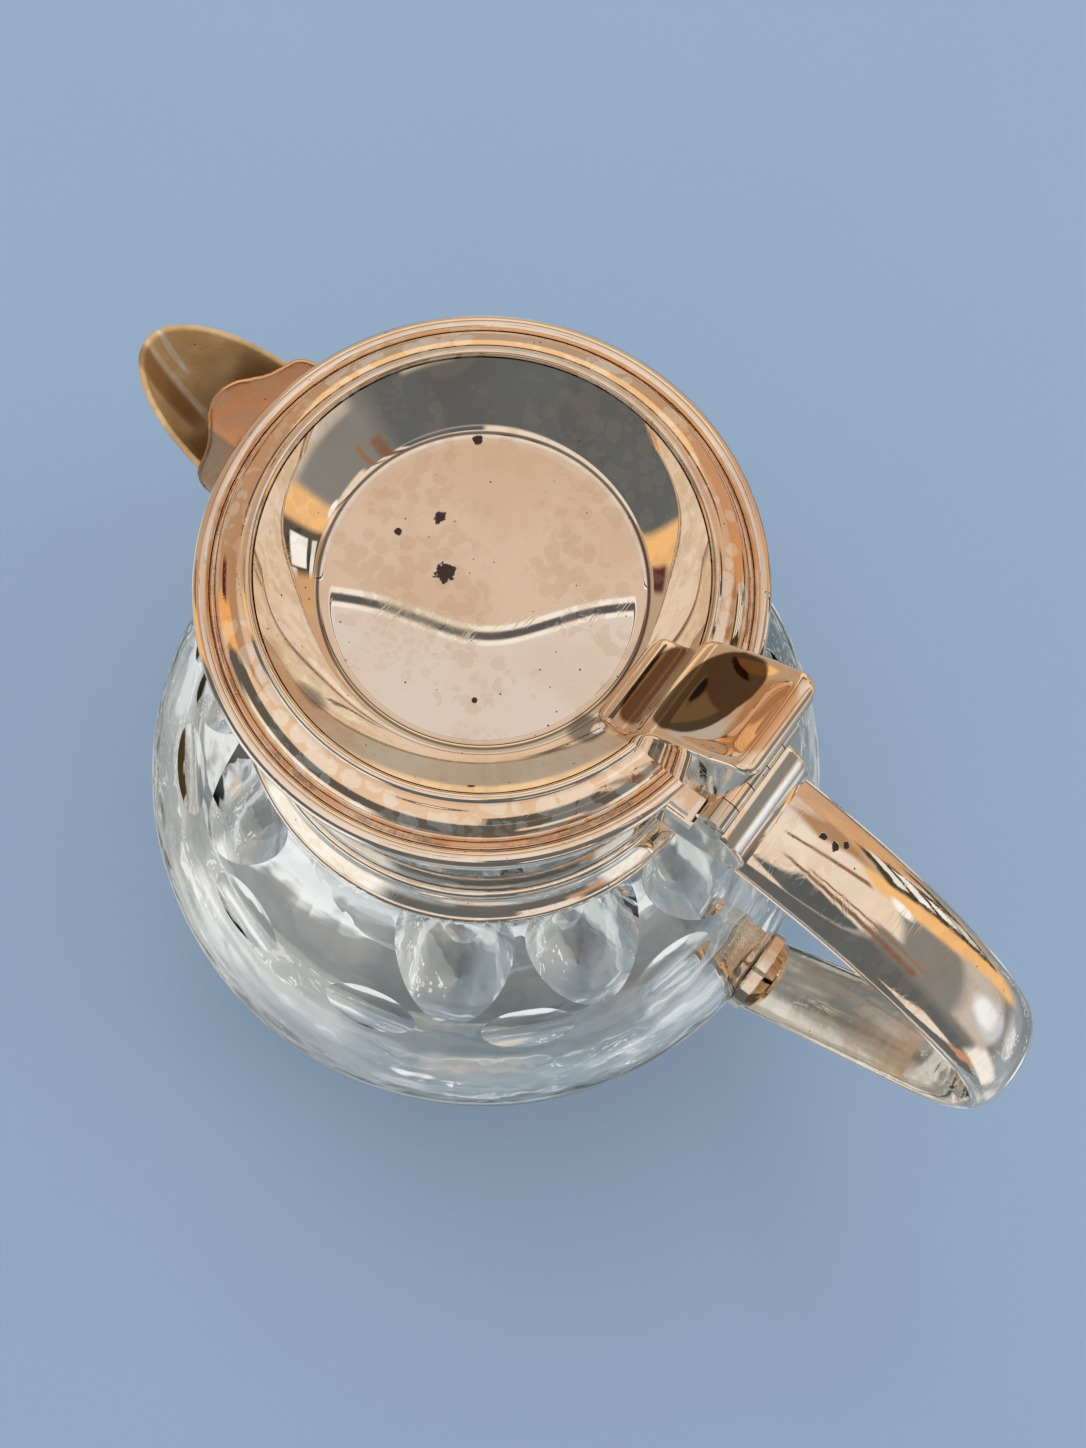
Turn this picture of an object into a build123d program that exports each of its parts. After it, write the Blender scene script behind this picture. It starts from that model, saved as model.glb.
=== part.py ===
from build123d import *
import math
import os

# Claret jug: cut-glass globe with a silver collar, spout, loop handle and hinged lid.
# Millimetres, +Z up. It stands on z = 0, the handle points to +X and the spout to -X.

# ---------------------------------------------------------------- glass
BODY_RADIUS = 74.4          # widest radius of the globe
BODY_HALF_HEIGHT = 67.5     # half height of the ellipse that the globe follows
BASE_RADIUS = 29.1          # flat that the jug stands on, where the ellipse is cut off
FLARE_START = 0.62          # the shoulder starts this share of the half height above the widest section
SHOULDER_RISE = 38.0        # hollow shoulder, from the globe up to the ledge
LEDGE_WIDTH = 4.8           # ledge round the neck that carries the collar
GLASS_WALL = 7.0            # wall at the belly
BASE_THICKNESS = 11.0       # heavy base
NECK_RADIUS = 36.7          # glass neck inside the collar
NECK_BORE = 31.0            # radius of the mouth
NECK_HEIGHT = 24.0          # neck above the ledge

PETAL_COUNT = 12            # long hollow petals cut round the shoulder
PETAL_DEPTH = 1.9           # depth of a petal under the collar
PETAL_EXTRA_DEPTH = 1.7     # how much deeper a petal is halfway down
PETAL_CUT_RADIUS = 25.0     # radius of the cutting wheel's rim across a petal

THUMB_COUNT = PETAL_COUNT   # oval thumbprints, one below each rib between two petals
THUMB_DROP = 1.4            # a thumbprint's centre is this far below the petals' tips
THUMB_HALF_WIDTH = 9.2
THUMB_HALF_HEIGHT = 5.2
THUMB_DEPTH = 0.8

# ---------------------------------------------------------------- collar
CEMENT = 0.8                # plaster bed between the glass neck and the collar
CEMENT_SHORTFALL = 1.0      # the bed stops this far below the glass rim
COLLAR_SHEET = 1.0
COLLAR_HEIGHT = 50.7        # straight wall above the glass ledge
FOOT_OVERHANG = 0.95        # the collar's foot stands out past the glass ledge
FOOT_LIP_HEIGHT = 2.4       # upright edge of that foot
FOOT_LIP_ROUND = 0.8        # rounding of its upper corner
FOOT_HEIGHT = 10.0          # hollow moulding from the ledge up to the wire
FOOT_WIRE = 0.8             # thickness of the wire soldered above the foot
RIM_WIDTH = 1.2             # rolled rim outside the wall
RIM_DROP = 2.5              # height of that rim
RIM_ROLL_SHARE = 0.8        # radius of its rounded corners, as a share of its width
EAR_SETBACK = 1.8           # the rim's ear ends this far before the hinge pin
EAR_HALF_WIDTH = 10.0

# ---------------------------------------------------------------- spout
SPOUT_SHEET = 1.0
SPOUT_REACH = 60.8          # tip of the lip, from the jug's axis
SPOUT_HALF_WIDTH = 10.8     # lip, where it leaves the collar
SPOUT_ROOT = 38.0           # distance from the axis where the lip starts to narrow
SPOUT_LIP_RISE = 3.3        # the tip stands this much above the lip's root
SPOUT_FLAT_END = 44.5       # the lip is level up to here, under the guard
SPOUT_DEPTH = 26.0          # from the lip down to the lowest point on the collar
SPOUT_FOOT_SHARE = 0.25     # width left at the lowest point, as a share of the lip
SPOUT_SECTIONS = [0, 0.25, 0.5, 0.75, 0.97]  # where its level sections lie, as shares of that depth
APERTURE_HALF_WIDTH = 6.2   # oval pouring hole in the collar, inside the spout
APERTURE_HEIGHT = 18.0
APERTURE_BELOW_RIM = 1.2
GUARD_SHEET = 1.0
GUARD_HALF_WIDTH = 12.2
GUARD_REACH = 8.8           # its nose ends this far past the rim
GUARD_OGEE = [              # its edge, as shares of that reach and of the half width
    (0.15, 1.0),
    (0.35, 0.91),
    (0.44, 0.76),
    (0.54, 0.58),
    (0.69, 0.43),
    (0.84, 0.31),
    (0.95, 0.17),
]


# ---------------------------------------------------------------- handle
HANDLE_HALF_WIDTH = 8.5
HANDLE_CROWN = 3.4          # height of the outer shell above the seam
HANDLE_BELLY = 2.3          # depth of the inner strip below the seam
HANDLE_SHEET = 1.2
HANDLE_SEAM_STEP = 0.25     # the inner strip stands proud of the shell by this much
HANDLE_START_REACH = 13.5   # the handle starts this far outside the collar
HANDLE_START_DROP = 13.3    # and this far below its top
HANDLE_START_ANGLE = -8.5   # degrees, first direction of the handle
HANDLE_TOP_RADIUS = 85.0
HANDLE_TOP_TURN = 33.5      # degrees
HANDLE_BEND_RADIUS = 40.0
HANDLE_BEND_TURN = 77.6     # degrees
SOCKET_DEPTH = 17.0         # height of the upper socket on the collar
SOCKET_TOP_HOLLOW = 9.0     # radius of the hollow between the hinge and the handle
SOCKET_LOW_HOLLOW = 20.0    # radius of the hollow below the handle
SOCKET_ROUND = 1.8          # rounding along its lower edges
FERRULE_PROUD = 2.0         # the lower ferrule stands out from the glass by this much
FERRULE_BORDER = 0.9        # ferrule outside the handle's section
BOSS_BORDER = 2.4           # ferrule metal round the glass boss

# ---------------------------------------------------------------- lid
LID_GAP = 0.3               # between the collar's rim and the closed lid
LID_BEAD_PROUD = 0.3        # the lid's rounded bead stands out past the collar's rim
LID_BEAD_WIRE = 1.3         # radius of the bead itself
LID_BEAD_RISE = 0.3         # the bead's centre stands this much above the seat
LID_SEAT_HEIGHT = 2.4       # flat seat inside the bead
SKIRT_SHEET = 1.0
SKIRT_DEPTH = 3.5           # tube that drops into the collar
SKIRT_CLEARANCE = 0.4
BEAD_TO_BORDER = 3.5        # from the outside of the bead in to the raised border
BORDER_FOOT = 0.8           # the cove outside the border spreads by this much
BORDER_FOOT_HEIGHT = 2.4
BORDER_COVE = 4.0           # radius of that cove
BORDER_RISE = 4.1           # from the border's outer edge to its inner edge
BORDER_BULGE = 0.25         # the border is slightly domed
BORDER_WIDTH = 5.2          # raised border, out from the edge of the sunk dish
DISH_WALL_RUN = 8.0         # from the dish's edge in to the crease at its floor
DISH_DEPTH = 9.2            # from the border's inner edge to the crease
DISH_BULGE = 0.25           # hollow of the dish's wall
CREASE_SPREAD = 0.4         # underneath, the crease lies further out by this share of the sheet
DISH_DISHING = 0.6          # the floor's centre lies this much below the crease
LID_SHEET = 1.0

# ---------------------------------------------------------------- hinge and thumbpiece
HINGE_OUTSET = 5.1          # pin outside the collar's rim
HINGE_RISE = 3.3            # pin above the top of the collar
KNUCKLE_RADIUS = 2.3
KNUCKLE_COUNT = 5
HINGE_HALF_WIDTH = 9.0
KNUCKLE_GAP = 0.15          # end play between two knuckles
PIN_RADIUS = 1.0
PIN_CLEARANCE = 0.05        # running fit in the lid's knuckles
HINGE_BODY_GAP = 0.3        # round each knuckle, to the leaf that faces it
BRACKET_DEPTH = 4.0         # thickness of the fixed leaf under the pin
TAB_SETBACK = 3.1           # the lid's tab ends this far before the pin, where its arms start
TAB_HALF_WIDTH = 9.6
TAB_HEIGHT = 3.6
ARM_THICKNESS = 3.6
THUMBPIECE_HALF_WIDTH = 7.0
THUMBPIECE_SWELL = 0.7      # its sides swell by this much halfway along
THUMBPIECE_CORNER = 2.6     # rounding of its corners in plan
THUMBPIECE_SHEET = 0.8      # base plate under it
TOE_GAP = 0.3               # the step in front starts this far outside the dish's crease
STEP_RUN = 1.8              # the first riser leans back by this much
STEP_DROP = 1.1             # its crest lies this much below the border's top
TREAD_RUN = 3.7
TREAD_RISE = 2.6
RISER_RUN = 3.7
RISER_RISE = 9.1
TOP_RUN = 10.6              # from the riser to the middle of the rolled back edge
TOP_RISE = 7.3
BACK_ROLL = 2.2             # radius of that roll
BACK_ROLL_TURN = 140        # degrees
PLATE_SETBACK = 0.9         # the base line starts this far inside the border's edge
PLATE_CLEARANCE = 0.4       # the base line clears the knuckles
PLATE_OVERHANG = 1.5        # it ends this far in front of the pin
SCOOP_DEPTH = 1.2
SCOOP_HALF_LENGTH = 6.4
SCOOP_HALF_WIDTH = 5.9
SADDLE_HALF_WIDTH = 5.0     # saddle between the lid and the thumbpiece

# ---------------------------------------------------------------- worked-out sizes
BODY_CENTRE_Z = BODY_HALF_HEIGHT * math.sqrt(1 - (BASE_RADIUS / BODY_RADIUS) ** 2)
FLARE_START_Z = BODY_CENTRE_Z + BODY_HALF_HEIGHT * FLARE_START
SHOULDER_Z = FLARE_START_Z + SHOULDER_RISE
SHOULDER_RADIUS = NECK_RADIUS + LEDGE_WIDTH
THUMB_Z = FLARE_START_Z - THUMB_DROP
COLLAR_INNER = NECK_RADIUS + CEMENT
COLLAR_OUTER = COLLAR_INNER + COLLAR_SHEET
COLLAR_TOP = SHOULDER_Z + COLLAR_HEIGHT
NECK_TOP = SHOULDER_Z + NECK_HEIGHT
FOOT_LIP_RADIUS = SHOULDER_RADIUS + FOOT_OVERHANG
RIM_RADIUS = COLLAR_OUTER + RIM_WIDTH
RIM_BOTTOM = COLLAR_TOP - RIM_DROP
LID_BASE = COLLAR_TOP + LID_GAP
LID_BEAD_RADIUS = RIM_RADIUS + LID_BEAD_PROUD
BORDER_OUTER_RADIUS = LID_BEAD_RADIUS - BEAD_TO_BORDER
DISH_RADIUS = BORDER_OUTER_RADIUS - BORDER_WIDTH
DISH_FLOOR_RADIUS = DISH_RADIUS - DISH_WALL_RUN
HINGE_X = RIM_RADIUS + HINGE_OUTSET
EAR_REACH = HINGE_X - EAR_SETBACK
TAB_REACH = HINGE_X - TAB_SETBACK
SKIRT_RADIUS = COLLAR_INNER - SKIRT_CLEARANCE
SEAT_TOP = LID_BASE + LID_SEAT_HEIGHT
BEAD_CENTRE_Z = SEAT_TOP + LID_BEAD_RISE
BORDER_EDGE_Z = SEAT_TOP + BORDER_FOOT_HEIGHT
BORDER_TOP_Z = BORDER_EDGE_Z + BORDER_RISE
DISH_SEAT_Z = BORDER_TOP_Z - LID_SHEET
CREASE_Z = BORDER_TOP_Z - DISH_DEPTH
HINGE_Z = COLLAR_TOP + HINGE_RISE
HANDLE_START_X = COLLAR_OUTER + HANDLE_START_REACH
HANDLE_START_Z = COLLAR_TOP - HANDLE_START_DROP
PLATE_FRONT = (DISH_RADIUS - PLATE_SETBACK, BORDER_TOP_Z)
PLATE_BACK = (HINGE_X - PLATE_OVERHANG, HINGE_Z + KNUCKLE_RADIUS + PLATE_CLEARANCE)
TOE = (DISH_FLOOR_RADIUS + TOE_GAP, CREASE_Z)
CREST = (TOE[0] + STEP_RUN, BORDER_TOP_Z - STEP_DROP)
TREAD_END = (CREST[0] + TREAD_RUN, CREST[1] + TREAD_RISE)
TOP_FRONT = (TREAD_END[0] + RISER_RUN, TREAD_END[1] + RISER_RISE)
ROLL_CENTRE = (TOP_FRONT[0] + TOP_RUN, TOP_FRONT[1] + TOP_RISE)
FERRULE_X = BODY_RADIUS + FERRULE_PROUD
SPOUT_LIP_Z = COLLAR_TOP - GUARD_SHEET


# ---------------------------------------------------------------- helpers
def turned(*edges):
    """Solid of revolution about Z from a closed outline in the (radius, height) plane."""
    outline = make_face(Plane.XZ * Curve(edges))
    return revolve(outline, Axis.Z)


def line_chain(*points):
    """Straight edges through the points, in order."""
    return [Line(a, b) for a, b in zip(points, points[1:])]


def side_plate(outline, half_width):
    """Solid from a closed outline in the (x, z) plane, with half its width on each side of y = 0."""
    face = make_face(Plane.XZ * Curve(outline))
    return extrude(face, half_width, both=True)


def ring(inner, outer, bottom, top):
    """Plain tube between two radii and two heights."""
    tube = Cylinder(outer, top - bottom) - Cylinder(inner, top - bottom)
    return Pos(0, 0, (bottom + top) / 2) * tube


def barrel(outer, rim):
    """Cutting wheel: `outer` is its radius and `rim` the radius of its rounded edge."""
    disc = Pos(outer - rim, 0) * Circle(rim)
    half = Pos(outer / 2, 0) * Rectangle(outer, 2 * rim)
    return revolve(Plane.XZ * (disc & half), Axis.Z)


def cut_radius(half_chord, depth, curvature):
    """Radius of a round cutter that leaves a print of this half chord and depth on a curved surface."""
    return 1 / (2 * depth / half_chord**2 - curvature)


def body_radius_at(z):
    """Outer radius of the globe's ellipse at a height."""
    t = (z - BODY_CENTRE_Z) / BODY_HALF_HEIGHT
    return BODY_RADIUS * math.sqrt(1 - t * t)


def body_slope_at(z):
    """Direction (dr, dz) of the ellipse's outline at a height, going up."""
    r = body_radius_at(z)
    slope = -((BODY_RADIUS / BODY_HALF_HEIGHT) ** 2) * (z - BODY_CENTRE_Z) / r
    length = math.hypot(slope, 1)
    return slope / length, 1 / length


# ---------------------------------------------------------------- glass body
def shoulder_arc():
    """Hollow shoulder: an arc that leaves the ellipse tangentially and ends under the collar."""
    start = (body_radius_at(FLARE_START_Z), FLARE_START_Z)
    return TangentArc(start, (SHOULDER_RADIUS, SHOULDER_Z), tangent=body_slope_at(FLARE_START_Z))


def glass_blank():
    """The blown globe before it is cut: solid outside shape, up to the collar's ledge."""
    foot_radius = body_radius_at(0)
    low = math.degrees(math.atan2(-BODY_CENTRE_Z / BODY_HALF_HEIGHT, foot_radius / BODY_RADIUS))
    rise = (FLARE_START_Z - BODY_CENTRE_Z) / BODY_HALF_HEIGHT
    high = math.degrees(math.asin(rise))
    globe = EllipticalCenterArc(
        (0, BODY_CENTRE_Z), BODY_RADIUS, BODY_HALF_HEIGHT, start_angle=low, arc_size=high - low
    )
    bottom = Line((0, 0), globe @ 0)
    top = line_chain((SHOULDER_RADIUS, SHOULDER_Z), (0, SHOULDER_Z), (0, 0))
    return turned(bottom, globe, shoulder_arc(), *top)


def glass_cavity():
    """Inside of the jug: two half ellipses that meet at the belly, an arc up to the bore, and the bore."""
    radius = BODY_RADIUS - GLASS_WALL
    up = BODY_HALF_HEIGHT - GLASS_WALL
    down = BODY_CENTRE_Z - BASE_THICKNESS
    rise = FLARE_START_Z - GLASS_WALL / 2 - BODY_CENTRE_Z
    join_angle = math.degrees(math.asin(rise / up))
    low = EllipticalCenterArc((0, BODY_CENTRE_Z), radius, down, start_angle=-90, arc_size=90)
    high = EllipticalCenterArc((0, BODY_CENTRE_Z), radius, up, start_angle=0, arc_size=join_angle)
    join = high @ 1
    lean = math.atan2(-(high % 1).X, (high % 1).Y)
    bore_z = join.Y + (join.X - NECK_BORE) / math.tan(lean / 2)
    shoulder = TangentArc(join, (NECK_BORE, bore_z), tangent=high % 1)
    over = NECK_TOP + 1
    walls = line_chain((NECK_BORE, bore_z), (NECK_BORE, over), (0, over), low @ 0)
    return turned(low, high, shoulder, *walls)


def petal_cutter():
    """Wheel that cuts one petal: its edge follows an arc from under the collar down to the tip."""
    shoulder = shoulder_arc()
    tip = (body_radius_at(FLARE_START_Z), FLARE_START_Z)
    top = (SHOULDER_RADIUS - PETAL_DEPTH, SHOULDER_Z)
    middle = shoulder @ 0.5
    inward = shoulder.arc_center - middle
    inward = inward * (-(PETAL_DEPTH + PETAL_EXTRA_DEPTH) / inward.length)
    groove = ThreePointArc(top, middle + inward, tip)
    centre = groove.arc_center
    wheel = Torus(groove.radius - PETAL_CUT_RADIUS, PETAL_CUT_RADIUS)
    return Pos(centre.X, 0, centre.Y) * Rot(90, 0, 0) * wheel


def thumbprint_cutter():
    """Wheel that cuts one oval thumbprint into the globe."""
    r = body_radius_at(THUMB_Z)
    up = body_slope_at(THUMB_Z)
    out = (up[1], -up[0])
    around = out[0] / r
    bend = (r / BODY_RADIUS**2) ** 2 + ((THUMB_Z - BODY_CENTRE_Z) / BODY_HALF_HEIGHT**2) ** 2
    along = 1 / ((BODY_RADIUS * BODY_HALF_HEIGHT) ** 2 * bend**1.5)
    wide = cut_radius(THUMB_HALF_WIDTH, THUMB_DEPTH, around)
    high = cut_radius(THUMB_HALF_HEIGHT, THUMB_DEPTH, along)
    reach = wide - THUMB_DEPTH
    centre = (r + out[0] * reach, 0, THUMB_Z + out[1] * reach)
    place = Plane(origin=centre, x_dir=(0, 1, 0), z_dir=(up[0], 0, up[1]))
    return place * barrel(wide, high)


def handle_foot():
    """Point (x, z) where the handle's centre line meets the ferrule's face."""
    end = handle_line()[-1] @ 1
    return end.X, end.Y


def foot_oval(border):
    """Oval of the handle's foot in the ferrule's face, with a border added all round."""
    direction = handle_line()[-1] % 1
    half_height = (HANDLE_CROWN + HANDLE_BELLY) / 2 / abs(direction.X)
    middle_z = handle_foot()[1] + (HANDLE_CROWN - HANDLE_BELLY) / 2 / abs(direction.X)
    face = Plane(origin=(FERRULE_X, 0, middle_z), x_dir=(0, 1, 0), z_dir=(-1, 0, 0))
    half_width = HANDLE_HALF_WIDTH + HANDLE_SEAM_STEP
    return face * Ellipse(half_width + border, half_height + border)


def make_glass_body():
    """Globe, neck and boss in one piece of glass, with the petals and thumbprints cut into it."""
    neck = Pos(0, 0, (SHOULDER_Z + NECK_TOP) / 2) * Cylinder(NECK_RADIUS, NECK_HEIGHT)
    boss = extrude(foot_oval(FERRULE_BORDER - BOSS_BORDER), FERRULE_PROUD + GLASS_WALL / 2)
    glass = glass_blank()
    petal = petal_cutter()
    for i in range(PETAL_COUNT):
        glass -= Rot(0, 0, i * 360 / PETAL_COUNT) * petal
    thumbprint = thumbprint_cutter()
    for i in range(THUMB_COUNT):
        glass -= Rot(0, 0, (i + 0.5) * 360 / THUMB_COUNT) * thumbprint
    return glass + neck + boss - glass_cavity()


# ---------------------------------------------------------------- collar
def make_neck_cement():
    """Plaster bed that holds the collar on the neck."""
    return ring(NECK_RADIUS, COLLAR_INNER, SHOULDER_Z, NECK_TOP - CEMENT_SHORTFALL)


def make_collar_wall():
    """Tall straight wall of the collar with the pouring hole through it."""
    wall = ring(COLLAR_INNER, COLLAR_OUTER, SHOULDER_Z, COLLAR_TOP)
    middle_z = RIM_BOTTOM - APERTURE_BELOW_RIM - APERTURE_HEIGHT / 2
    place = Plane(origin=(0, 0, middle_z), x_dir=(0, 1, 0), z_dir=(-1, 0, 0))
    oval = place * Ellipse(APERTURE_HALF_WIDTH, APERTURE_HEIGHT / 2)
    return wall - extrude(oval, SPOUT_REACH)


def make_collar_foot():
    """Spreading foot of the collar: a lip on the glass ledge and a cove up to the wire."""
    top = SHOULDER_Z + FOOT_HEIGHT
    lip_top = SHOULDER_Z + FOOT_LIP_HEIGHT
    wire_edge = COLLAR_OUTER + FOOT_WIRE / 2
    lip = JernArc((FOOT_LIP_RADIUS, lip_top - FOOT_LIP_ROUND), (0, 1), FOOT_LIP_ROUND, 90)
    cove = RadiusArc(lip @ 1, (wire_edge, top), FOOT_HEIGHT)
    rest = line_chain(
        (wire_edge, top),
        (COLLAR_OUTER, top),
        (COLLAR_OUTER, SHOULDER_Z),
        (FOOT_LIP_RADIUS, SHOULDER_Z),
        lip @ 0,
    )
    return turned(lip, cove, *rest)


def make_collar_wire():
    """Half-round wire soldered above the foot."""
    bottom = SHOULDER_Z + FOOT_HEIGHT
    round_face = ThreePointArc(
        (COLLAR_OUTER, bottom),
        (COLLAR_OUTER + FOOT_WIRE, bottom + FOOT_WIRE),
        (COLLAR_OUTER, bottom + 2 * FOOT_WIRE),
    )
    return turned(round_face, Line(round_face @ 1, round_face @ 0))


def make_collar_rim():
    """Rolled rim round the top of the collar, with the flat ear that the hinge stands on."""
    roll = RIM_WIDTH * RIM_ROLL_SHARE
    upper = JernArc((RIM_RADIUS, COLLAR_TOP - roll), (0, 1), roll, 90)
    lower = JernArc((RIM_RADIUS - roll, RIM_BOTTOM), (1, 0), roll, 90)
    edges = [
        upper,
        Line(upper @ 1, (COLLAR_OUTER, COLLAR_TOP)),
        Line((COLLAR_OUTER, COLLAR_TOP), (COLLAR_OUTER, RIM_BOTTOM)),
        Line((COLLAR_OUTER, RIM_BOTTOM), lower @ 0),
        lower,
        Line(lower @ 1, upper @ 0),
    ]
    rim = turned(*edges)
    ear = Pos(EAR_REACH / 2, 0, COLLAR_TOP - RIM_DROP / 2) * Box(EAR_REACH, 2 * EAR_HALF_WIDTH, RIM_DROP)
    core = Pos(0, 0, COLLAR_TOP) * Cylinder(COLLAR_OUTER, 4 * RIM_DROP)
    return rim + (ear - core)


# ---------------------------------------------------------------- spout
def spout_section(depth_share, inset):
    """Level section of the spout: half an ellipse out from the collar, smaller further down."""
    height = SPOUT_LIP_Z + SPOUT_LIP_RISE - depth_share * (SPOUT_DEPTH + SPOUT_LIP_RISE)
    shrink = math.cos(depth_share * math.pi / 2)
    reach = COLLAR_OUTER + (SPOUT_REACH - COLLAR_OUTER) * shrink - inset
    half_width = (SPOUT_HALF_WIDTH - inset) * (SPOUT_FOOT_SHARE + (1 - SPOUT_FOOT_SHARE) * shrink)
    nose = reach - SPOUT_ROOT
    oval = Ellipse(nose, half_width) & Pos(-nose / 2, 0) * Rectangle(nose, 2 * half_width)
    throat = 4 * COLLAR_SHEET
    oval += Pos(throat / 2, 0) * Rectangle(throat, 2 * half_width)
    return Plane(origin=(-SPOUT_ROOT, 0, height)) * oval


def spout_horn(inset, top):
    """Solid horn: the spout's outside if inset is 0, or its hollow, up to a height."""
    horn = loft([spout_section(share, inset) for share in reversed(SPOUT_SECTIONS)])
    above = Pos(-SPOUT_REACH / 2, 0, top + SPOUT_DEPTH) * Box(2 * SPOUT_REACH, SPOUT_REACH, 2 * SPOUT_DEPTH)
    return horn - above


def lip_cutter():
    """Everything above the lip: level under the guard, then rising to the tip."""
    rise = SPOUT_LIP_RISE / (SPOUT_REACH - SPOUT_FLAT_END)
    far = SPOUT_REACH + SPOUT_HALF_WIDTH
    far_z = SPOUT_LIP_Z + rise * (far - SPOUT_FLAT_END)
    high = far_z + SPOUT_DEPTH
    points = [
        (0, SPOUT_LIP_Z),
        (-SPOUT_FLAT_END, SPOUT_LIP_Z),
        (-far, far_z),
        (-far, high),
        (0, high),
        (0, SPOUT_LIP_Z),
    ]
    return side_plate(line_chain(*points), 2 * SPOUT_HALF_WIDTH)


def make_spout():
    """Open pouring lip of bent sheet, soldered to the collar under its rim."""
    top = SPOUT_LIP_Z + SPOUT_LIP_RISE + 1
    shell = spout_horn(0, top) - spout_horn(SPOUT_SHEET, top)
    collar = Pos(0, 0, SPOUT_LIP_Z - SPOUT_DEPTH) * Cylinder(COLLAR_OUTER, 4 * SPOUT_DEPTH)
    rim = ring(COLLAR_INNER, RIM_RADIUS, RIM_BOTTOM, COLLAR_TOP)
    return shell - collar - rim - lip_cutter()


def make_spout_guard():
    """Shield-shaped guard with an ogee outline that covers the root of the spout."""
    outline = [(RIM_WIDTH - RIM_RADIUS, GUARD_HALF_WIDTH)]
    for along, across in GUARD_OGEE:
        outline.append((-RIM_RADIUS - GUARD_REACH * along, GUARD_HALF_WIDTH * across))
    other_side = [(x, -y) for x, y in reversed(outline)]
    edge = Spline(*outline, (-RIM_RADIUS - GUARD_REACH, 0), *other_side)
    plate = extrude(make_face(Curve([edge, Line(edge @ 1, edge @ 0)])), GUARD_SHEET)
    return Pos(0, 0, SPOUT_LIP_Z) * (plate - Cylinder(RIM_RADIUS, 4 * GUARD_SHEET))


# ---------------------------------------------------------------- handle
def handle_line():
    """Centre line of the handle in the (x, z) plane: a long arc, a tight bend and a straight run."""
    angle = math.radians(HANDLE_START_ANGLE)
    first = (math.cos(angle), math.sin(angle))
    top = JernArc((HANDLE_START_X, HANDLE_START_Z), first, HANDLE_TOP_RADIUS, -HANDLE_TOP_TURN)
    bend = JernArc(top @ 1, top % 1, HANDLE_BEND_RADIUS, -HANDLE_BEND_TURN)
    direction = bend % 1
    run = ((bend @ 1).X - FERRULE_X) / -direction.X
    tail = Line(bend @ 1, (bend @ 1) + direction * run)
    return [top, bend, tail]


def handle_sweep(half_width, height, first_angle):
    """Half-oval trough swept along the handle, above the seam (first_angle 0) or below it (180)."""
    outer = EllipticalCenterArc((0, 0), half_width, height, start_angle=first_angle, arc_size=180)
    inner_width = half_width - HANDLE_SHEET
    inner_height = height - HANDLE_SHEET
    inner = EllipticalCenterArc((0, 0), inner_width, inner_height, start_angle=first_angle, arc_size=180)
    edges = [outer, inner, Line(outer @ 0, inner @ 0), Line(outer @ 1, inner @ 1)]
    top, bend, tail = handle_line()
    overrun = 2 * (HANDLE_CROWN + HANDLE_BELLY)
    long_tail = Line(tail @ 0, (tail @ 1) + (tail % 1) * overrun)
    path = Plane.XZ * Curve([top, bend, long_tail])
    start = top % 0
    frame = Plane(origin=(HANDLE_START_X, 0, HANDLE_START_Z), x_dir=(0, 1, 0), z_dir=(start.X, 0, start.Y))
    trough = sweep(frame * make_face(Curve(edges)), path=path)
    block = Box(2 * overrun, 4 * half_width, 8 * overrun)
    return trough - Pos(FERRULE_X - overrun, 0, handle_foot()[1]) * block


def make_handle_shell():
    """Outer half of the hollow handle."""
    return handle_sweep(HANDLE_HALF_WIDTH, HANDLE_CROWN, 0)


def make_handle_inner_strip():
    """Inner half of the hollow handle, which closes the shell along the seam."""
    return handle_sweep(HANDLE_HALF_WIDTH + HANDLE_SEAM_STEP, HANDLE_BELLY, 180)


def make_upper_socket():
    """Cast socket between the collar and the handle, under the hinge."""
    start = handle_line()[0]
    normal = Vector(-(start % 0).Y, (start % 0).X)
    crown = (start @ 0) + normal * HANDLE_CROWN
    belly = (start @ 0) - normal * HANDLE_BELLY
    x0 = COLLAR_INNER - COLLAR_SHEET
    rear = HINGE_X + BRACKET_DEPTH / 2
    bottom = RIM_BOTTOM - SOCKET_DEPTH
    top_curve = RadiusArc((rear, RIM_BOTTOM), (crown.X, crown.Y), SOCKET_TOP_HOLLOW)
    low_curve = RadiusArc((belly.X, belly.Y), (COLLAR_OUTER, bottom), SOCKET_LOW_HOLLOW)
    edges = [
        Line((x0, RIM_BOTTOM), (rear, RIM_BOTTOM)),
        top_curve,
        Line((crown.X, crown.Y), (belly.X, belly.Y)),
        low_curve,
        Line((COLLAR_OUTER, bottom), (x0, bottom)),
        Line((x0, bottom), (x0, RIM_BOTTOM)),
    ]
    block = side_plate(edges, HANDLE_HALF_WIDTH)
    low_edges = block.edges().filter_by(GeomType.CIRCLE).filter_by(lambda e: e.center().Z < belly.Y)
    block = fillet(low_edges, SOCKET_ROUND)
    bore = Pos(0, 0, RIM_BOTTOM) * Cylinder(COLLAR_OUTER, 4 * SOCKET_DEPTH)
    return block - bore


def make_lower_ferrule():
    """Oval ferrule round the glass boss, shaped to the globe, that carries the handle's foot."""
    plate = extrude(foot_oval(FERRULE_BORDER), FERRULE_PROUD + GLASS_WALL / 2)
    boss = extrude(foot_oval(FERRULE_BORDER - BOSS_BORDER), 2 * (FERRULE_PROUD + GLASS_WALL))
    return plate - boss - glass_blank()


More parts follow.
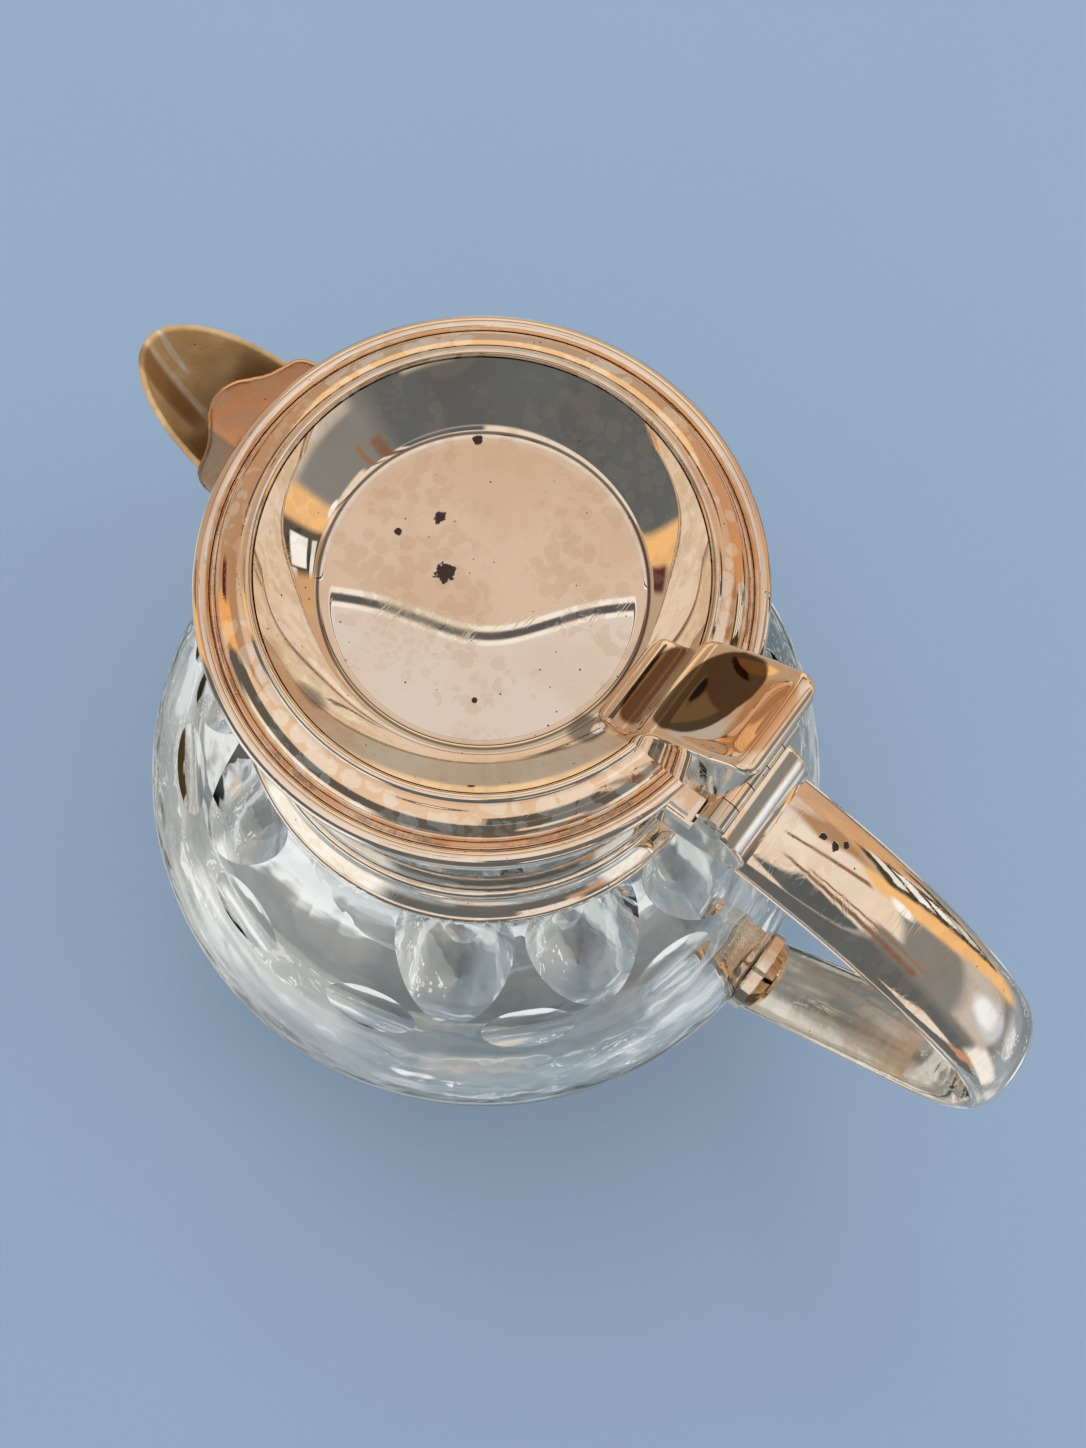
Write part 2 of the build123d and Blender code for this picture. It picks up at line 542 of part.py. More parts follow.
# ---------------------------------------------------------------- hinge
def knuckle_spans():
    """(start, end) along y of each knuckle; the even ones are fixed, the odd ones move."""
    pitch = 2 * HINGE_HALF_WIDTH / KNUCKLE_COUNT
    half = KNUCKLE_GAP / 2
    edges = [-HINGE_HALF_WIDTH + i * pitch for i in range(KNUCKLE_COUNT + 1)]
    return [(a + half, b - half) for a, b in zip(edges, edges[1:])]


def rod(radius, start, end):
    """Round rod on the hinge axis between two places along y."""
    middle = (start + end) / 2
    return Pos(HINGE_X, middle, HINGE_Z) * Rot(90, 0, 0) * Cylinder(radius, end - start)


def make_hinge_bracket():
    """Fixed leaf on the socket, with every second knuckle."""
    height = HINGE_Z - RIM_BOTTOM
    depth = BRACKET_DEPTH
    x_mid = EAR_REACH + depth / 2
    bracket = Pos(x_mid, 0, RIM_BOTTOM + height / 2) * Box(depth, 2 * HINGE_HALF_WIDTH, height)
    spans = knuckle_spans()
    clear = KNUCKLE_RADIUS + HINGE_BODY_GAP
    for start, end in spans[1::2]:
        width = end - start + 2 * KNUCKLE_GAP
        slot = Pos(HINGE_X - depth, (start + end) / 2, HINGE_Z) * Box(2 * depth, width, 2 * clear)
        bracket -= slot
        bracket -= rod(clear, start - KNUCKLE_GAP, end + KNUCKLE_GAP)
    for start, end in spans[0::2]:
        bracket += rod(KNUCKLE_RADIUS, start, end)
    return bracket - rod(PIN_RADIUS, -2 * HINGE_HALF_WIDTH, 2 * HINGE_HALF_WIDTH)


def make_hinge_pin():
    """Pin through all the knuckles."""
    start = knuckle_spans()[0][0]
    return rod(PIN_RADIUS, start, -start)


# ---------------------------------------------------------------- lid
def bead_arc():
    """Outside of the bead, from its upright lower edge over the top to the flat seat."""
    centre = LID_BEAD_RADIUS - LID_BEAD_WIRE
    edge = LID_BEAD_RADIUS - LID_SHEET / 2
    low = BEAD_CENTRE_Z - math.sqrt(LID_BEAD_WIRE**2 - (edge - centre) ** 2)
    seat = centre - math.sqrt(LID_BEAD_WIRE**2 - (SEAT_TOP - BEAD_CENTRE_Z) ** 2)
    return ThreePointArc((edge, low), (centre, BEAD_CENTRE_Z + LID_BEAD_WIRE), (seat, SEAT_TOP))


def make_lid_bead():
    """Ring that closes on the collar: flat seat inside, rounded bead outside."""
    bead = bead_arc()
    inner = SKIRT_RADIUS - SKIRT_SHEET
    edge = (bead @ 0).X
    rest = line_chain(bead @ 1, (inner, SEAT_TOP), (inner, LID_BASE), (edge, LID_BASE), bead @ 0)
    return turned(bead, *rest)


def make_lid_skirt():
    """Short tube that drops into the collar and keeps the lid in place."""
    return ring(SKIRT_RADIUS - SKIRT_SHEET, SKIRT_RADIUS, LID_BASE - SKIRT_DEPTH, LID_BASE)


def border_curves():
    """Cove outside the border, and its slightly domed top."""
    foot = BORDER_OUTER_RADIUS + BORDER_FOOT
    cove = RadiusArc((foot, SEAT_TOP), (BORDER_OUTER_RADIUS, BORDER_EDGE_Z), -BORDER_COVE)
    middle = Vector((BORDER_OUTER_RADIUS + DISH_RADIUS) / 2, (BORDER_EDGE_Z + BORDER_TOP_Z) / 2)
    dome = ThreePointArc(
        (BORDER_OUTER_RADIUS, BORDER_EDGE_Z),
        middle + Vector(BORDER_BULGE, BORDER_BULGE),
        (DISH_RADIUS, BORDER_TOP_Z),
    )
    return cove, dome


def make_lid_border():
    """Raised, slightly domed border with a cove outside it."""
    cove, dome = border_curves()
    inside = BORDER_OUTER_RADIUS - LID_SHEET
    rest = line_chain(
        dome @ 1,
        (DISH_RADIUS, DISH_SEAT_Z),
        (DISH_RADIUS + LID_SHEET, DISH_SEAT_Z),
        (inside, BORDER_EDGE_Z - LID_SHEET / 2),
        (inside, SEAT_TOP),
        cove @ 0,
    )
    return turned(cove, dome, *rest)


def dish_curves(offset):
    """Wall and floor of the dish, moved down and out by the sheet for its underside."""
    edge = (DISH_RADIUS + offset, DISH_SEAT_Z - offset)
    crease = (DISH_FLOOR_RADIUS + offset * CREASE_SPREAD, CREASE_Z - offset)
    middle = Vector((edge[0] + crease[0]) / 2, (edge[1] + crease[1]) / 2)
    wall = ThreePointArc(edge, middle + Vector(DISH_BULGE, -DISH_BULGE), crease)
    floor = TangentArc((0, CREASE_Z - DISH_DISHING - offset), crease, tangent=(1, 0))
    return wall, floor


def make_lid_dish():
    """Sunk dish in the middle of the lid, with a flange under the border."""
    wall, floor = dish_curves(0)
    under_wall, under_floor = dish_curves(LID_SHEET)
    flange = line_chain(
        wall @ 0,
        (DISH_RADIUS + LID_SHEET, DISH_SEAT_Z),
        (DISH_RADIUS + LID_SHEET, DISH_SEAT_Z - LID_SHEET),
    )
    axis = Line(floor @ 0, under_floor @ 0)
    return turned(wall, floor, under_wall, under_floor, axis, *flange)


def make_lid_tab():
    """Hinge tab soldered to the bead, with the moving knuckles on two arms."""
    inner = LID_BEAD_RADIUS - LID_BEAD_WIRE
    length = TAB_REACH - inner + 2
    block = Pos(TAB_REACH - length / 2, 0, LID_BASE + TAB_HEIGHT / 2)
    tab = block * Box(length, 2 * TAB_HALF_WIDTH, TAB_HEIGHT)
    tab -= Pos(0, 0, LID_BASE) * Cylinder(inner, 4 * TAB_HEIGHT)
    arm_length = HINGE_X - TAB_REACH
    arm_z = HINGE_Z - KNUCKLE_RADIUS + ARM_THICKNESS / 2
    for start, end in knuckle_spans()[1::2]:
        arm = Pos(TAB_REACH + arm_length / 2, (start + end) / 2, arm_z)
        tab += arm * Box(arm_length, end - start, ARM_THICKNESS)
        tab += rod(KNUCKLE_RADIUS, start, end)
    tab -= rod(PIN_RADIUS + PIN_CLEARANCE, -2 * HINGE_HALF_WIDTH, 2 * HINGE_HALF_WIDTH)
    return tab - lid_block()


# ---------------------------------------------------------------- thumbpiece
def top_line():
    """The scooped top in the (x, z) plane: a straight run, tangent to the roll at the back."""
    run = Vector(ROLL_CENTRE[0] - TOP_FRONT[0], ROLL_CENTRE[1] - TOP_FRONT[1])
    climb = math.atan2(run.Y, run.X) + math.asin(BACK_ROLL / run.length)
    along = Vector(math.cos(climb), math.sin(climb))
    roll_start = Vector(ROLL_CENTRE) + Vector(-along.Y, along.X) * BACK_ROLL
    return Line(TOP_FRONT, roll_start), along


def thumb_outline():
    """Side outline: a low step in front, a tall riser, the scooped top and its rolled back."""
    front = Spline(TOE, CREST, tangents=[(0.1, 1), (0.9, 0.5)])
    tread = Spline(CREST, TREAD_END, tangents=[(0.9, 0.05), (0.5, 1)])
    riser = Spline(TREAD_END, TOP_FRONT, tangents=[(0.3, 1), (0.8, 0.6)])
    top, along = top_line()
    roll = JernArc(top @ 1, along, BACK_ROLL, -BACK_ROLL_TURN)
    rest = line_chain(roll @ 1, PLATE_BACK, PLATE_FRONT, (PLATE_FRONT[0], CREASE_Z), TOE)
    return [front, tread, riser, top, roll, *rest]


def thumb_plan():
    """Plan outline: rounded corners, with sides that swell slightly."""
    front, back = TOE[0], ROLL_CENTRE[0] + BACK_ROLL
    middle, half = (front + back) / 2, THUMBPIECE_HALF_WIDTH
    left = ThreePointArc((front, half), (middle, half + THUMBPIECE_SWELL), (back, half))
    right = mirror(left, Plane.XZ)
    ends = [Line(left @ 0, right @ 0), Line(left @ 1, right @ 1)]
    outline = make_face(Curve([left, right, *ends]))
    return fillet(outline.vertices(), THUMBPIECE_CORNER)


def make_thumbpiece():
    """Cast thumbpiece: stepped front that sits in the dish, scooped top for the thumb."""
    side = side_plate(thumb_outline(), THUMBPIECE_HALF_WIDTH + THUMBPIECE_SWELL)
    piece = side & Pos(0, 0, CREASE_Z) * extrude(thumb_plan(), ROLL_CENTRE[1])
    top, along = top_line()
    middle = top @ 0.5
    long_radius = cut_radius(SCOOP_HALF_LENGTH, SCOOP_DEPTH, 0)
    wide_radius = cut_radius(SCOOP_HALF_WIDTH, SCOOP_DEPTH, 0)
    above = middle + Vector(-along.Y, along.X) * (long_radius - SCOOP_DEPTH)
    place = Plane(origin=(above.X, 0, above.Y), x_dir=(along.X, 0, along.Y), z_dir=(0, 1, 0))
    return piece - place * barrel(long_radius, wide_radius) - lid_block()


def lid_block():
    """The closed lid as one filled body, so that what is soldered to it fits its surface."""
    wall, floor = dish_curves(0)
    cove, dome = border_curves()
    bead = bead_arc()
    centre = (0, LID_BASE - SKIRT_DEPTH)
    edge = ((bead @ 0).X, LID_BASE)
    rest = [
        Line(wall @ 0, dome @ 1),
        Line(cove @ 0, bead @ 1),
        *line_chain(bead @ 0, edge, centre, floor @ 0),
    ]
    return turned(wall, floor, cove, dome, bead, *rest)


def plate_height(x):
    """Height of the thumbpiece's base line at a distance x from the jug's axis."""
    slope = (PLATE_BACK[1] - PLATE_FRONT[1]) / (PLATE_BACK[0] - PLATE_FRONT[0])
    return PLATE_FRONT[1] + slope * (x - PLATE_FRONT[0])


def make_thumb_saddle():
    """Base plate of the thumbpiece, with the wedge that fills the space down to the lid."""
    front = DISH_RADIUS
    back = PLATE_BACK[0] - HINGE_BODY_GAP
    top = [(front, plate_height(front)), (back, plate_height(back))]
    below = [(x, z - THUMBPIECE_SHEET) for x, z in reversed(top)]
    plate = side_plate(line_chain(*top, *below, top[0]), THUMBPIECE_HALF_WIDTH)
    tab_top = LID_BASE + TAB_HEIGHT
    corners = [
        below[1],
        (TAB_REACH, plate_height(TAB_REACH) - THUMBPIECE_SHEET),
        (TAB_REACH, tab_top),
        (front, tab_top),
        below[1],
    ]
    wedge = side_plate(line_chain(*corners), SADDLE_HALF_WIDTH)
    return plate + wedge - lid_block() - make_lid_tab()


# ---------------------------------------------------------------- export
PARTS = {
    "glass_body": make_glass_body,
    "neck_cement": make_neck_cement,
    "collar_wall": make_collar_wall,
    "collar_foot": make_collar_foot,
    "collar_wire": make_collar_wire,
    "collar_rim": make_collar_rim,
    "spout": make_spout,
    "spout_guard": make_spout_guard,
    "upper_socket": make_upper_socket,
    "handle_shell": make_handle_shell,
    "handle_inner_strip": make_handle_inner_strip,
    "lower_ferrule": make_lower_ferrule,
    "hinge_bracket": make_hinge_bracket,
    "hinge_pin": make_hinge_pin,
    "lid_bead": make_lid_bead,
    "lid_skirt": make_lid_skirt,
    "lid_border": make_lid_border,
    "lid_dish": make_lid_dish,
    "lid_tab": make_lid_tab,
    "thumbpiece": make_thumbpiece,
    "thumb_saddle": make_thumb_saddle,
}

os.makedirs("parts", exist_ok=True)
for name, make in PARTS.items():
    export_step(make(), f"parts/{name}.step")
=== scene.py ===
"""Looks of a cut-glass claret jug with a silver collar, a loop handle and a hinged lid."""

from __future__ import annotations

import logging
import math
from collections.abc import Mapping, Sequence
from dataclasses import dataclass
from enum import Enum

import bmesh
import bpy
from mathutils import Matrix, Vector

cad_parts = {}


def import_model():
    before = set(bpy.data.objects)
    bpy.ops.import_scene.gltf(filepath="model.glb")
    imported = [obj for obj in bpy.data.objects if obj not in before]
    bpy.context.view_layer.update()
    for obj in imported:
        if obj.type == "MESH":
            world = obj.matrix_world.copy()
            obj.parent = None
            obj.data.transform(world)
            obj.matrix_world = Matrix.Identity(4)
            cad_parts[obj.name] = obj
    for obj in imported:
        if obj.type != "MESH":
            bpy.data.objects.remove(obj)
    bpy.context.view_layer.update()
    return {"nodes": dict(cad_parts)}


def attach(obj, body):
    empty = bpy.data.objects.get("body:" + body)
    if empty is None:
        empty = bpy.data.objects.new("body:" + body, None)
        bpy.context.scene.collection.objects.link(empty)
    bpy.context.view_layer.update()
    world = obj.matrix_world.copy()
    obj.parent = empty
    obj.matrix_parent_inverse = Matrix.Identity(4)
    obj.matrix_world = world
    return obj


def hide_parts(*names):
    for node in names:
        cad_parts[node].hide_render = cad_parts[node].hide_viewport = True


LOG = logging.getLogger("claret_jug")
MM = 0.001  # metres in a millimetre
DEGREE = 180 / math.pi  # degrees in a radian
WELD = 1e-6  # vertices closer than this, in metres, become one
RUB = 0.5  # how far one round of rubbing moves a vertex towards its neighbours
Colour = tuple[float, float, float]
Point = tuple[float, float, float]


def srgb(red: int, green: int, blue: int) -> Colour:
    """Turn a colour as a screen shows it into the linear colour that a shader takes.

    Args:
        red: Red, 0 to 255.
        green: Green, 0 to 255.
        blue: Blue, 0 to 255.

    Returns:
        The linear colour.
    """
    shares = (c / 255 for c in (red, green, blue))
    return tuple(s / 12.92 if s <= 0.04045 else ((s + 0.055) / 1.055) ** 2.4 for s in shares)


# ---------------------------------------------------------------- shader maths


class Signal:
    """One output of a shader node. Arithmetic on it adds Math nodes."""

    def __init__(self, sheet: "NodeSheet", socket: bpy.types.NodeSocket) -> None:
        """Keep the socket and the sheet that it is on."""
        self.sheet = sheet
        self.socket = socket

    def _math(self, operation: str, *values: "Signal | float") -> "Signal":
        """Add one Math node."""
        return self.sheet.node("ShaderNodeMath", {"operation": operation}, dict(enumerate(values)))

    def __add__(self, other: "Signal | float") -> "Signal":
        """Sum."""
        return self._math("ADD", self, other)

    __radd__ = __add__

    def __sub__(self, other: "Signal | float") -> "Signal":
        """Difference."""
        return self._math("SUBTRACT", self, other)

    def __rsub__(self, other: float) -> "Signal":
        """Difference from a number."""
        return self._math("SUBTRACT", other, self)

    def __mul__(self, other: "Signal | float") -> "Signal":
        """Product."""
        return self._math("MULTIPLY", self, other)

    __rmul__ = __mul__

    def __truediv__(self, other: "Signal | float") -> "Signal":
        """Quotient."""
        return self._math("DIVIDE", self, other)

    def __rtruediv__(self, other: float) -> "Signal":
        """Quotient of a number."""
        return self._math("DIVIDE", other, self)

    def __pow__(self, other: float) -> "Signal":
        """Power."""
        return self._math("POWER", self, other)

    def __rpow__(self, other: float) -> "Signal":
        """A number to this power."""
        return self._math("POWER", other, self)

    def __abs__(self) -> "Signal":
        """Distance from zero."""
        return self._math("ABSOLUTE", self)

    def least(self, other: "Signal | float") -> "Signal":
        """Smaller of two values."""
        return self._math("MINIMUM", self, other)

    def most(self, other: "Signal | float") -> "Signal":
        """Larger of two values."""
        return self._math("MAXIMUM", self, other)

    def step(self, low: float, high: float) -> "Signal":
        """Rise smoothly from 0 at low to 1 at high, or fall where low is the larger.

        Args:
            low: Value that gives 0.
            high: Value that gives 1.

        Returns:
            The mask, 0 to 1.
        """
        rising = low < high
        ends = {"From Min": min(low, high), "From Max": max(low, high)}
        ends |= {"To Min": 0.0 if rising else 1.0, "To Max": 1.0 if rising else 0.0}
        kind = {"interpolation_type": "SMOOTHSTEP"}
        return self.sheet.node("ShaderNodeMapRange", kind, {"Value": self, **ends})


Value = Signal | float | Sequence[float]


class NodeSheet:
    """The nodes of one material or of the world."""

    def __init__(self, tree: bpy.types.NodeTree) -> None:
        """Start with an empty tree."""
        self.tree = tree
        tree.nodes.clear()

    def node(
        self,
        kind: str,
        settings: Mapping[str, object] | None = None,
        inputs: Mapping[str | int, Value] | None = None,
        output: str | int = 0,
    ) -> Signal:
        """Add a node, set it up and wire it.

        Args:
            kind: Blender's name of the node's type.
            settings: Its properties; "stops" are a ramp's positions and colours.
            inputs: A value or a signal for each named or numbered socket.
            output: The output to hand back.

        Returns:
            The signal on that output.
        """
        made = self.tree.nodes.new(kind)
        for name, value in (settings or {}).items():
            if name == "stops":
                self._stops(made.color_ramp, value)
            else:
                setattr(made, name, value)
        for name, value in (inputs or {}).items():
            self._feed(made.inputs[name], value)
        return Signal(self, made.outputs[output]) if made.outputs else Signal(self, None)

    @staticmethod
    def _stops(ramp: bpy.types.ColorRamp, stops: Sequence[tuple[float, Colour]]) -> None:
        """Give a ramp its stops.

        Args:
            ramp: The ramp, whose old stops go.
            stops: Position, 0 to 1, and colour of each stop.
        """
        while len(ramp.elements) > 1:
            ramp.elements.remove(ramp.elements[-1])
        for place, (position, colour) in enumerate(stops):
            element = ramp.elements[0] if place == 0 else ramp.elements.new(position)
            element.position = position
            element.color = (*colour, 1.0)

    def _feed(self, socket: bpy.types.NodeSocket, value: Value) -> None:
        """Wire a signal to a socket or set its number.

        Args:
            socket: The input.
            value: A signal, a number, a vector or a colour.
        """
        if isinstance(value, Signal):
            self.tree.links.new(value.socket, socket)
        elif isinstance(value, (int, float)):
            wide = hasattr(socket.default_value, "__len__")
            socket.default_value = [value] * len(socket.default_value) if wide else value
        elif len(value) == 3 and len(socket.default_value) == 4:
            socket.default_value = (*value, 1.0)
        else:
            socket.default_value = value

    def blend(self, share: Signal | float, start: Value, end: Value, how: str = "MIX") -> Signal:
        """Mix two colours.

        Args:
            share: How much of the second colour shows, 0 to 1.
            start: First colour.
            end: Second colour.
            how: Blend type of the Mix node.

        Returns:
            The mixed colour.
        """
        settings = {"data_type": "RGBA", "blend_type": how}
        return self.node("ShaderNodeMix", settings, {0: share, 6: start, 7: end}, 2)

    def vector(self, operation: str, *values: Value) -> Signal:
        """Add one Vector Math node.

        Args:
            operation: Blender's name of the operation.
            values: The vectors that it takes.

        Returns:
            A vector or, from an operation that measures, a number.
        """
        output = "Value" if operation in ("DISTANCE", "DOT_PRODUCT") else "Vector"
        numbered = dict(enumerate(values))
        return self.node("ShaderNodeVectorMath", {"operation": operation}, numbered, output)

    def place(self) -> Signal:
        """Position on the object in millimetres."""
        here = self.node("ShaderNodeTexCoord", output="Object")
        return self.scaled(here, 1 / MM)

    def scaled(self, at: Signal, factor: float) -> Signal:
        """Make a vector longer or shorter."""
        return self.node("ShaderNodeVectorMath", {"operation": "SCALE"}, {0: at, "Scale": factor})

    def parts(self, at: Signal) -> tuple[Signal, Signal, Signal]:
        """Split a vector into its X, Y and Z."""
        split = self.node("ShaderNodeSeparateXYZ", None, {0: at}).socket.node
        return tuple(Signal(self, split.outputs[axis]) for axis in range(3))

    def noise(self, at: Signal, size: float, detail: float = 2.0, rough: float = 0.5) -> Signal:
        """Cloudy noise whose patches are about size millimetres wide."""
        sockets = {"Vector": at, "Scale": 1 / size, "Detail": detail, "Roughness": rough}
        return self.node("ShaderNodeTexNoise", None, sockets)

    def cells(self, at: Signal, size: float, feature: str = "F1") -> Signal:
        """Distance to the nearest of scattered points, size millimetres apart."""
        sockets = {"Vector": at, "Scale": 1 / size}
        return self.node("ShaderNodeTexVoronoi", {"feature": feature}, sockets)

    def bump(self, height: Signal, strength: float, reach: float) -> Signal:
        """Normal that follows a height, whose whole range is reach metres."""
        sockets = {"Strength": strength, "Distance": reach, "Height": height}
        return self.node("ShaderNodeBump", None, sockets)

    def principled(self, sockets: Mapping[str, Value]) -> None:
        """End a material in one Principled shader."""
        shader = self.node("ShaderNodeBsdfPrincipled", None, sockets)
        self.node("ShaderNodeOutputMaterial", None, {"Surface": shader})


# ---------------------------------------------------------------- finishes


def new_material(name: str) -> tuple[bpy.types.Material, NodeSheet]:
    """Start a material with an empty node sheet.

    Args:
        name: Name of the material.

    Returns:
        The material and its sheet.
    """
    made = bpy.data.materials.new(name)
    made.use_nodes = True
    return made, NodeSheet(made.node_tree)


WHITE = (1.0, 1.0, 1.0)
BROWN = srgb(120, 90, 68)


@dataclass(frozen=True)
class Pit:
    """A dark pit in the plating: centre and radius in millimetres."""

    centre: Point
    radius: float
    edge: float = 0.85

    def mask(self, at: Signal, ragged: Signal) -> Signal:
        """Draw the pit with a ragged edge.

        Args:
            at: Position in millimetres.
            ragged: Noise about zero that shifts the edge, as a share of the radius.

        Returns:
            The mask, 0 to 1.
        """
        away = at.sheet.vector("DISTANCE", at, self.centre) + ragged * self.radius
        return away.step(self.radius, self.radius * self.edge)


@dataclass(frozen=True)
class Shade:
    """A patch laid over the tone, mostly painted shade, highlights and reflections: centre and
    half sizes in millimetres, tone, softness and slant.
    """

    centre: Point
    reach: Point
    tone: Colour
    soft: float = 0.15
    slant: float = 0.0
    raggedness: float = 0.5

    def mask(self, at: Signal) -> Signal:
        """Draw the patch as a rounded box with a slightly uneven edge.

        Args:
            at: Position in millimetres.

        Returns:
            The mask, 0 to 1.
        """
        sheet = at.sheet
        x, y, z = sheet.parts(sheet.vector("SUBTRACT", at, self.centre))
        wide, deep, high = self.reach
        out = abs((x - y * self.slant) / wide) ** 3 + abs(y / deep) ** 3 + abs(z / high) ** 3
        out = out + sheet.noise(at, 4, 2) * self.raggedness - self.raggedness / 2
        return out.step(1 + self.soft, 1 - self.soft)


@dataclass(frozen=True)
class Groove:
    """Dark tarnish in a turned groove: its radius, height and reach in millimetres."""

    radius: float
    height: float
    reach: float
    tone: Colour
    share: float

    def mask(self, at: Signal) -> Signal:
        """Draw the groove all round the axis.

        Args:
            at: Position in millimetres.

        Returns:
            The mask, 0 to the groove's share.
        """
        x, y, z = at.sheet.parts(at)
        out = (x * x + y * y) ** 0.5 - self.radius
        up = z - self.height
        away = (out * out + up * up) ** 0.5
        return away.step(self.reach, self.reach / 2) * self.share


@dataclass(frozen=True)
class SilverFinish:
    """Old silver plate: round islands of tarnish, stains, fine scratches, specks and pits, with
    patches of painted shade, highlight and reflection laid over it where given.
    """

    name: str
    tone: Colour = srgb(248, 240, 230)
    island_tone: Colour = srgb(232, 214, 190)
    island_size: float = 3.0
    islands: float = 0.6
    island_haze: float = 0.12
    stain_tone: Colour = srgb(150, 118, 84)
    stain: float = 0.0
    stain_top: float | None = None
    stain_fade: float = 30.0
    roughness: float = 0.02
    scratches: float = 0.5
    scratch_depth: float = 0.3
    scratch_runs: tuple[tuple[float, float], ...] = ((0.3, 3.6), (1.5, 5.2), (2.5, 2.8))
    speck_spacing: float = 2.1
    metal: float = 1.0
    island_film: float = 0.14
    island_height: float = 0.08
    relief: float = 0.1
    relief_reach: float = 0.0002
    cloud_tone: Colour = srgb(240, 226, 210)
    cloud_haze: float = 0.02
    stain_haze: float = 0.16
    scratch_haze: float = 0.12
    pit_tone: Colour = srgb(58, 34, 28)
    pit_haze: float = 0.4
    pit_film: float = 0.8
    pit_raggedness: float = 1.4
    dullest: float = 0.6
    pits: tuple[Pit, ...] = ()
    painted_patches: tuple[Shade, ...] = ()
    grooves: tuple[Groove, ...] = ()

    def material(self) -> bpy.types.Material:
        """Build the material.

        Returns:
            The finished material.
        """
        made, sheet = new_material(self.name)
        at = sheet.place()
        islands = self._islands(at)
        colour = sheet.blend(islands, self.tone, self.island_tone)
        cloud = sheet.noise(at, 12, 4, 0.6)
        colour = sheet.blend(cloud.step(0.35, 0.75) * 0.5, colour, self.cloud_tone, "MULTIPLY")
        # Patches laid over the tone, mostly painted shade, highlights and reflections, then dark
        # tarnish in the grooves.
        for patch in (*self.painted_patches, *self.grooves):
            colour = sheet.blend(patch.mask(at), colour, patch.tone)
        stains = self._stains(at)
        colour = sheet.blend(stains, colour, self.stain_tone)
        dark = self._specks(at).most(self._pits(at))
        colour = sheet.blend(dark, colour, self.pit_tone)
        grain = self._scratches(at)
        rough = cloud.step(0.3, 0.8) * self.cloud_haze + self.roughness
        rough = rough + islands * self.island_haze + stains * self.stain_haze
        rough = rough + grain * self.scratch_haze + dark * self.pit_haze
        bare = 1 - dark * self.pit_film - islands * self.island_film
        height = grain * -self.scratch_depth - dark + islands * self.island_height
        sheet.principled(
            {
                "Base Color": colour,
                "Metallic": bare.most(0.0) * self.metal,
                "Roughness": rough.least(self.dullest),
                "Normal": sheet.bump(height, self.relief, self.relief_reach),
            }
        )
        return made

    def _islands(self, at: Signal) -> Signal:
        """Draw round islands where the lacquer has lifted, crowded in some places.

        Args:
            at: Position in millimetres.

        Returns:
            The mask, 0 to the share of islands.
        """
        sheet = at.sheet
        wobble = sheet.node("ShaderNodeTexNoise", None, {"Vector": at, "Scale": 0.8}, 1)
        bent = sheet.vector("ADD", at, sheet.scaled(wobble, 0.7))
        big = sheet.cells(bent, self.island_size).step(0.55, 0.52)
        small = sheet.cells(bent, self.island_size / 2).step(0.50, 0.45)
        crowd = sheet.noise(bent, 13, 3, 0.6).step(0.50, 0.53)
        few = sheet.noise(at, 7, 2).step(0.52, 0.58)
        return (big * crowd * 0.8 + small * few * 0.5).least(1.0) * self.islands

    def _stains(self, at: Signal) -> Signal:
        """Draw cloudy brown stains, over everything or only below a height.

        Args:
            at: Position in millimetres.

        Returns:
            The mask, 0 to the share of stain.
        """
        mottle = at.sheet.noise(at, 5, 5, 0.65).step(0.3, 0.62)
        if self.stain_top is None:
            return mottle * self.stain
        below = at.sheet.parts(at)[2].step(self.stain_top, self.stain_top - self.stain_fade)
        return (mottle * 0.6 + 0.4) * below * self.stain

    def _specks(self, at: Signal) -> Signal:
        """Draw scattered dark pinpricks."""
        dots = at.sheet.cells(at, self.speck_spacing).step(0.085, 0.05)
        return dots * at.sheet.noise(at, 9, 1).step(0.5, 0.6)

    def _pits(self, at: Signal) -> Signal | float:
        """Draw the larger pits, each in its own place.

        Args:
            at: Position in millimetres.

        Returns:
            The mask, 0 to 1.
        """
        if not self.pits:
            return 0.0
        ragged = at.sheet.noise(at, 0.9, 3) * self.pit_raggedness - self.pit_raggedness / 2
        found: Signal | float = 0.0
        for pit in self.pits:
            found = pit.mask(at, ragged).most(found)
        return found

    def _scratches(self, at: Signal) -> Signal:
        """Draw long fine scratches, by the direction and spacing of each run.

        Args:
            at: Position in millimetres.

        Returns:
            The mask, 0 to the share of scratches.
        """
        total: Signal | float = 0.0
        for turn, size in self.scratch_runs:
            sockets = {"Vector": at, "Rotation": (0.0, 0.0, turn), "Scale": (1.0, 0.06, 1.0)}
            run = at.sheet.node("ShaderNodeMapping", None, sockets)
            lines = at.sheet.cells(run, size, "DISTANCE_TO_EDGE").step(0.014, 0.004)
            total = lines * at.sheet.noise(at, 6, 2).step(0.5, 0.6) + total
        return total.least(1.0) * self.scratches


@dataclass(frozen=True)
class GlassFinish:
    """Clear lead glass with a faint grey tint, a slight ripple and rubbed spots."""

    name: str = "cut_glass"
    tint: Colour = (0.975, 0.975, 0.96)
    cool_tint: Colour = (0.96, 0.97, 0.965)
    index: float = 1.5
    roughness: float = 0.003
    rubbed_haze: float = 0.08
    relief: float = 0.25
    relief_reach: float = 0.0005

    def material(self) -> bpy.types.Material:
        """Build the material.

        Returns:
            The finished material.
        """
        made, sheet = new_material(self.name)
        at = sheet.place()
        wear = sheet.cells(at, 2.6, "DISTANCE_TO_EDGE").step(0.02, 0.0)
        wear = wear * sheet.noise(at, 8, 3).step(0.55, 0.65)
        ripple = sheet.noise(at, 9, 1)
        sheet.principled(
            {
                "Base Color": sheet.blend(sheet.noise(at, 40, 1), self.tint, self.cool_tint),
                "Roughness": wear * self.rubbed_haze + self.roughness,
                "IOR": self.index,
                "Transmission Weight": 1.0,
                "Normal": sheet.bump(ripple, self.relief, self.relief_reach),
            }
        )
        return made


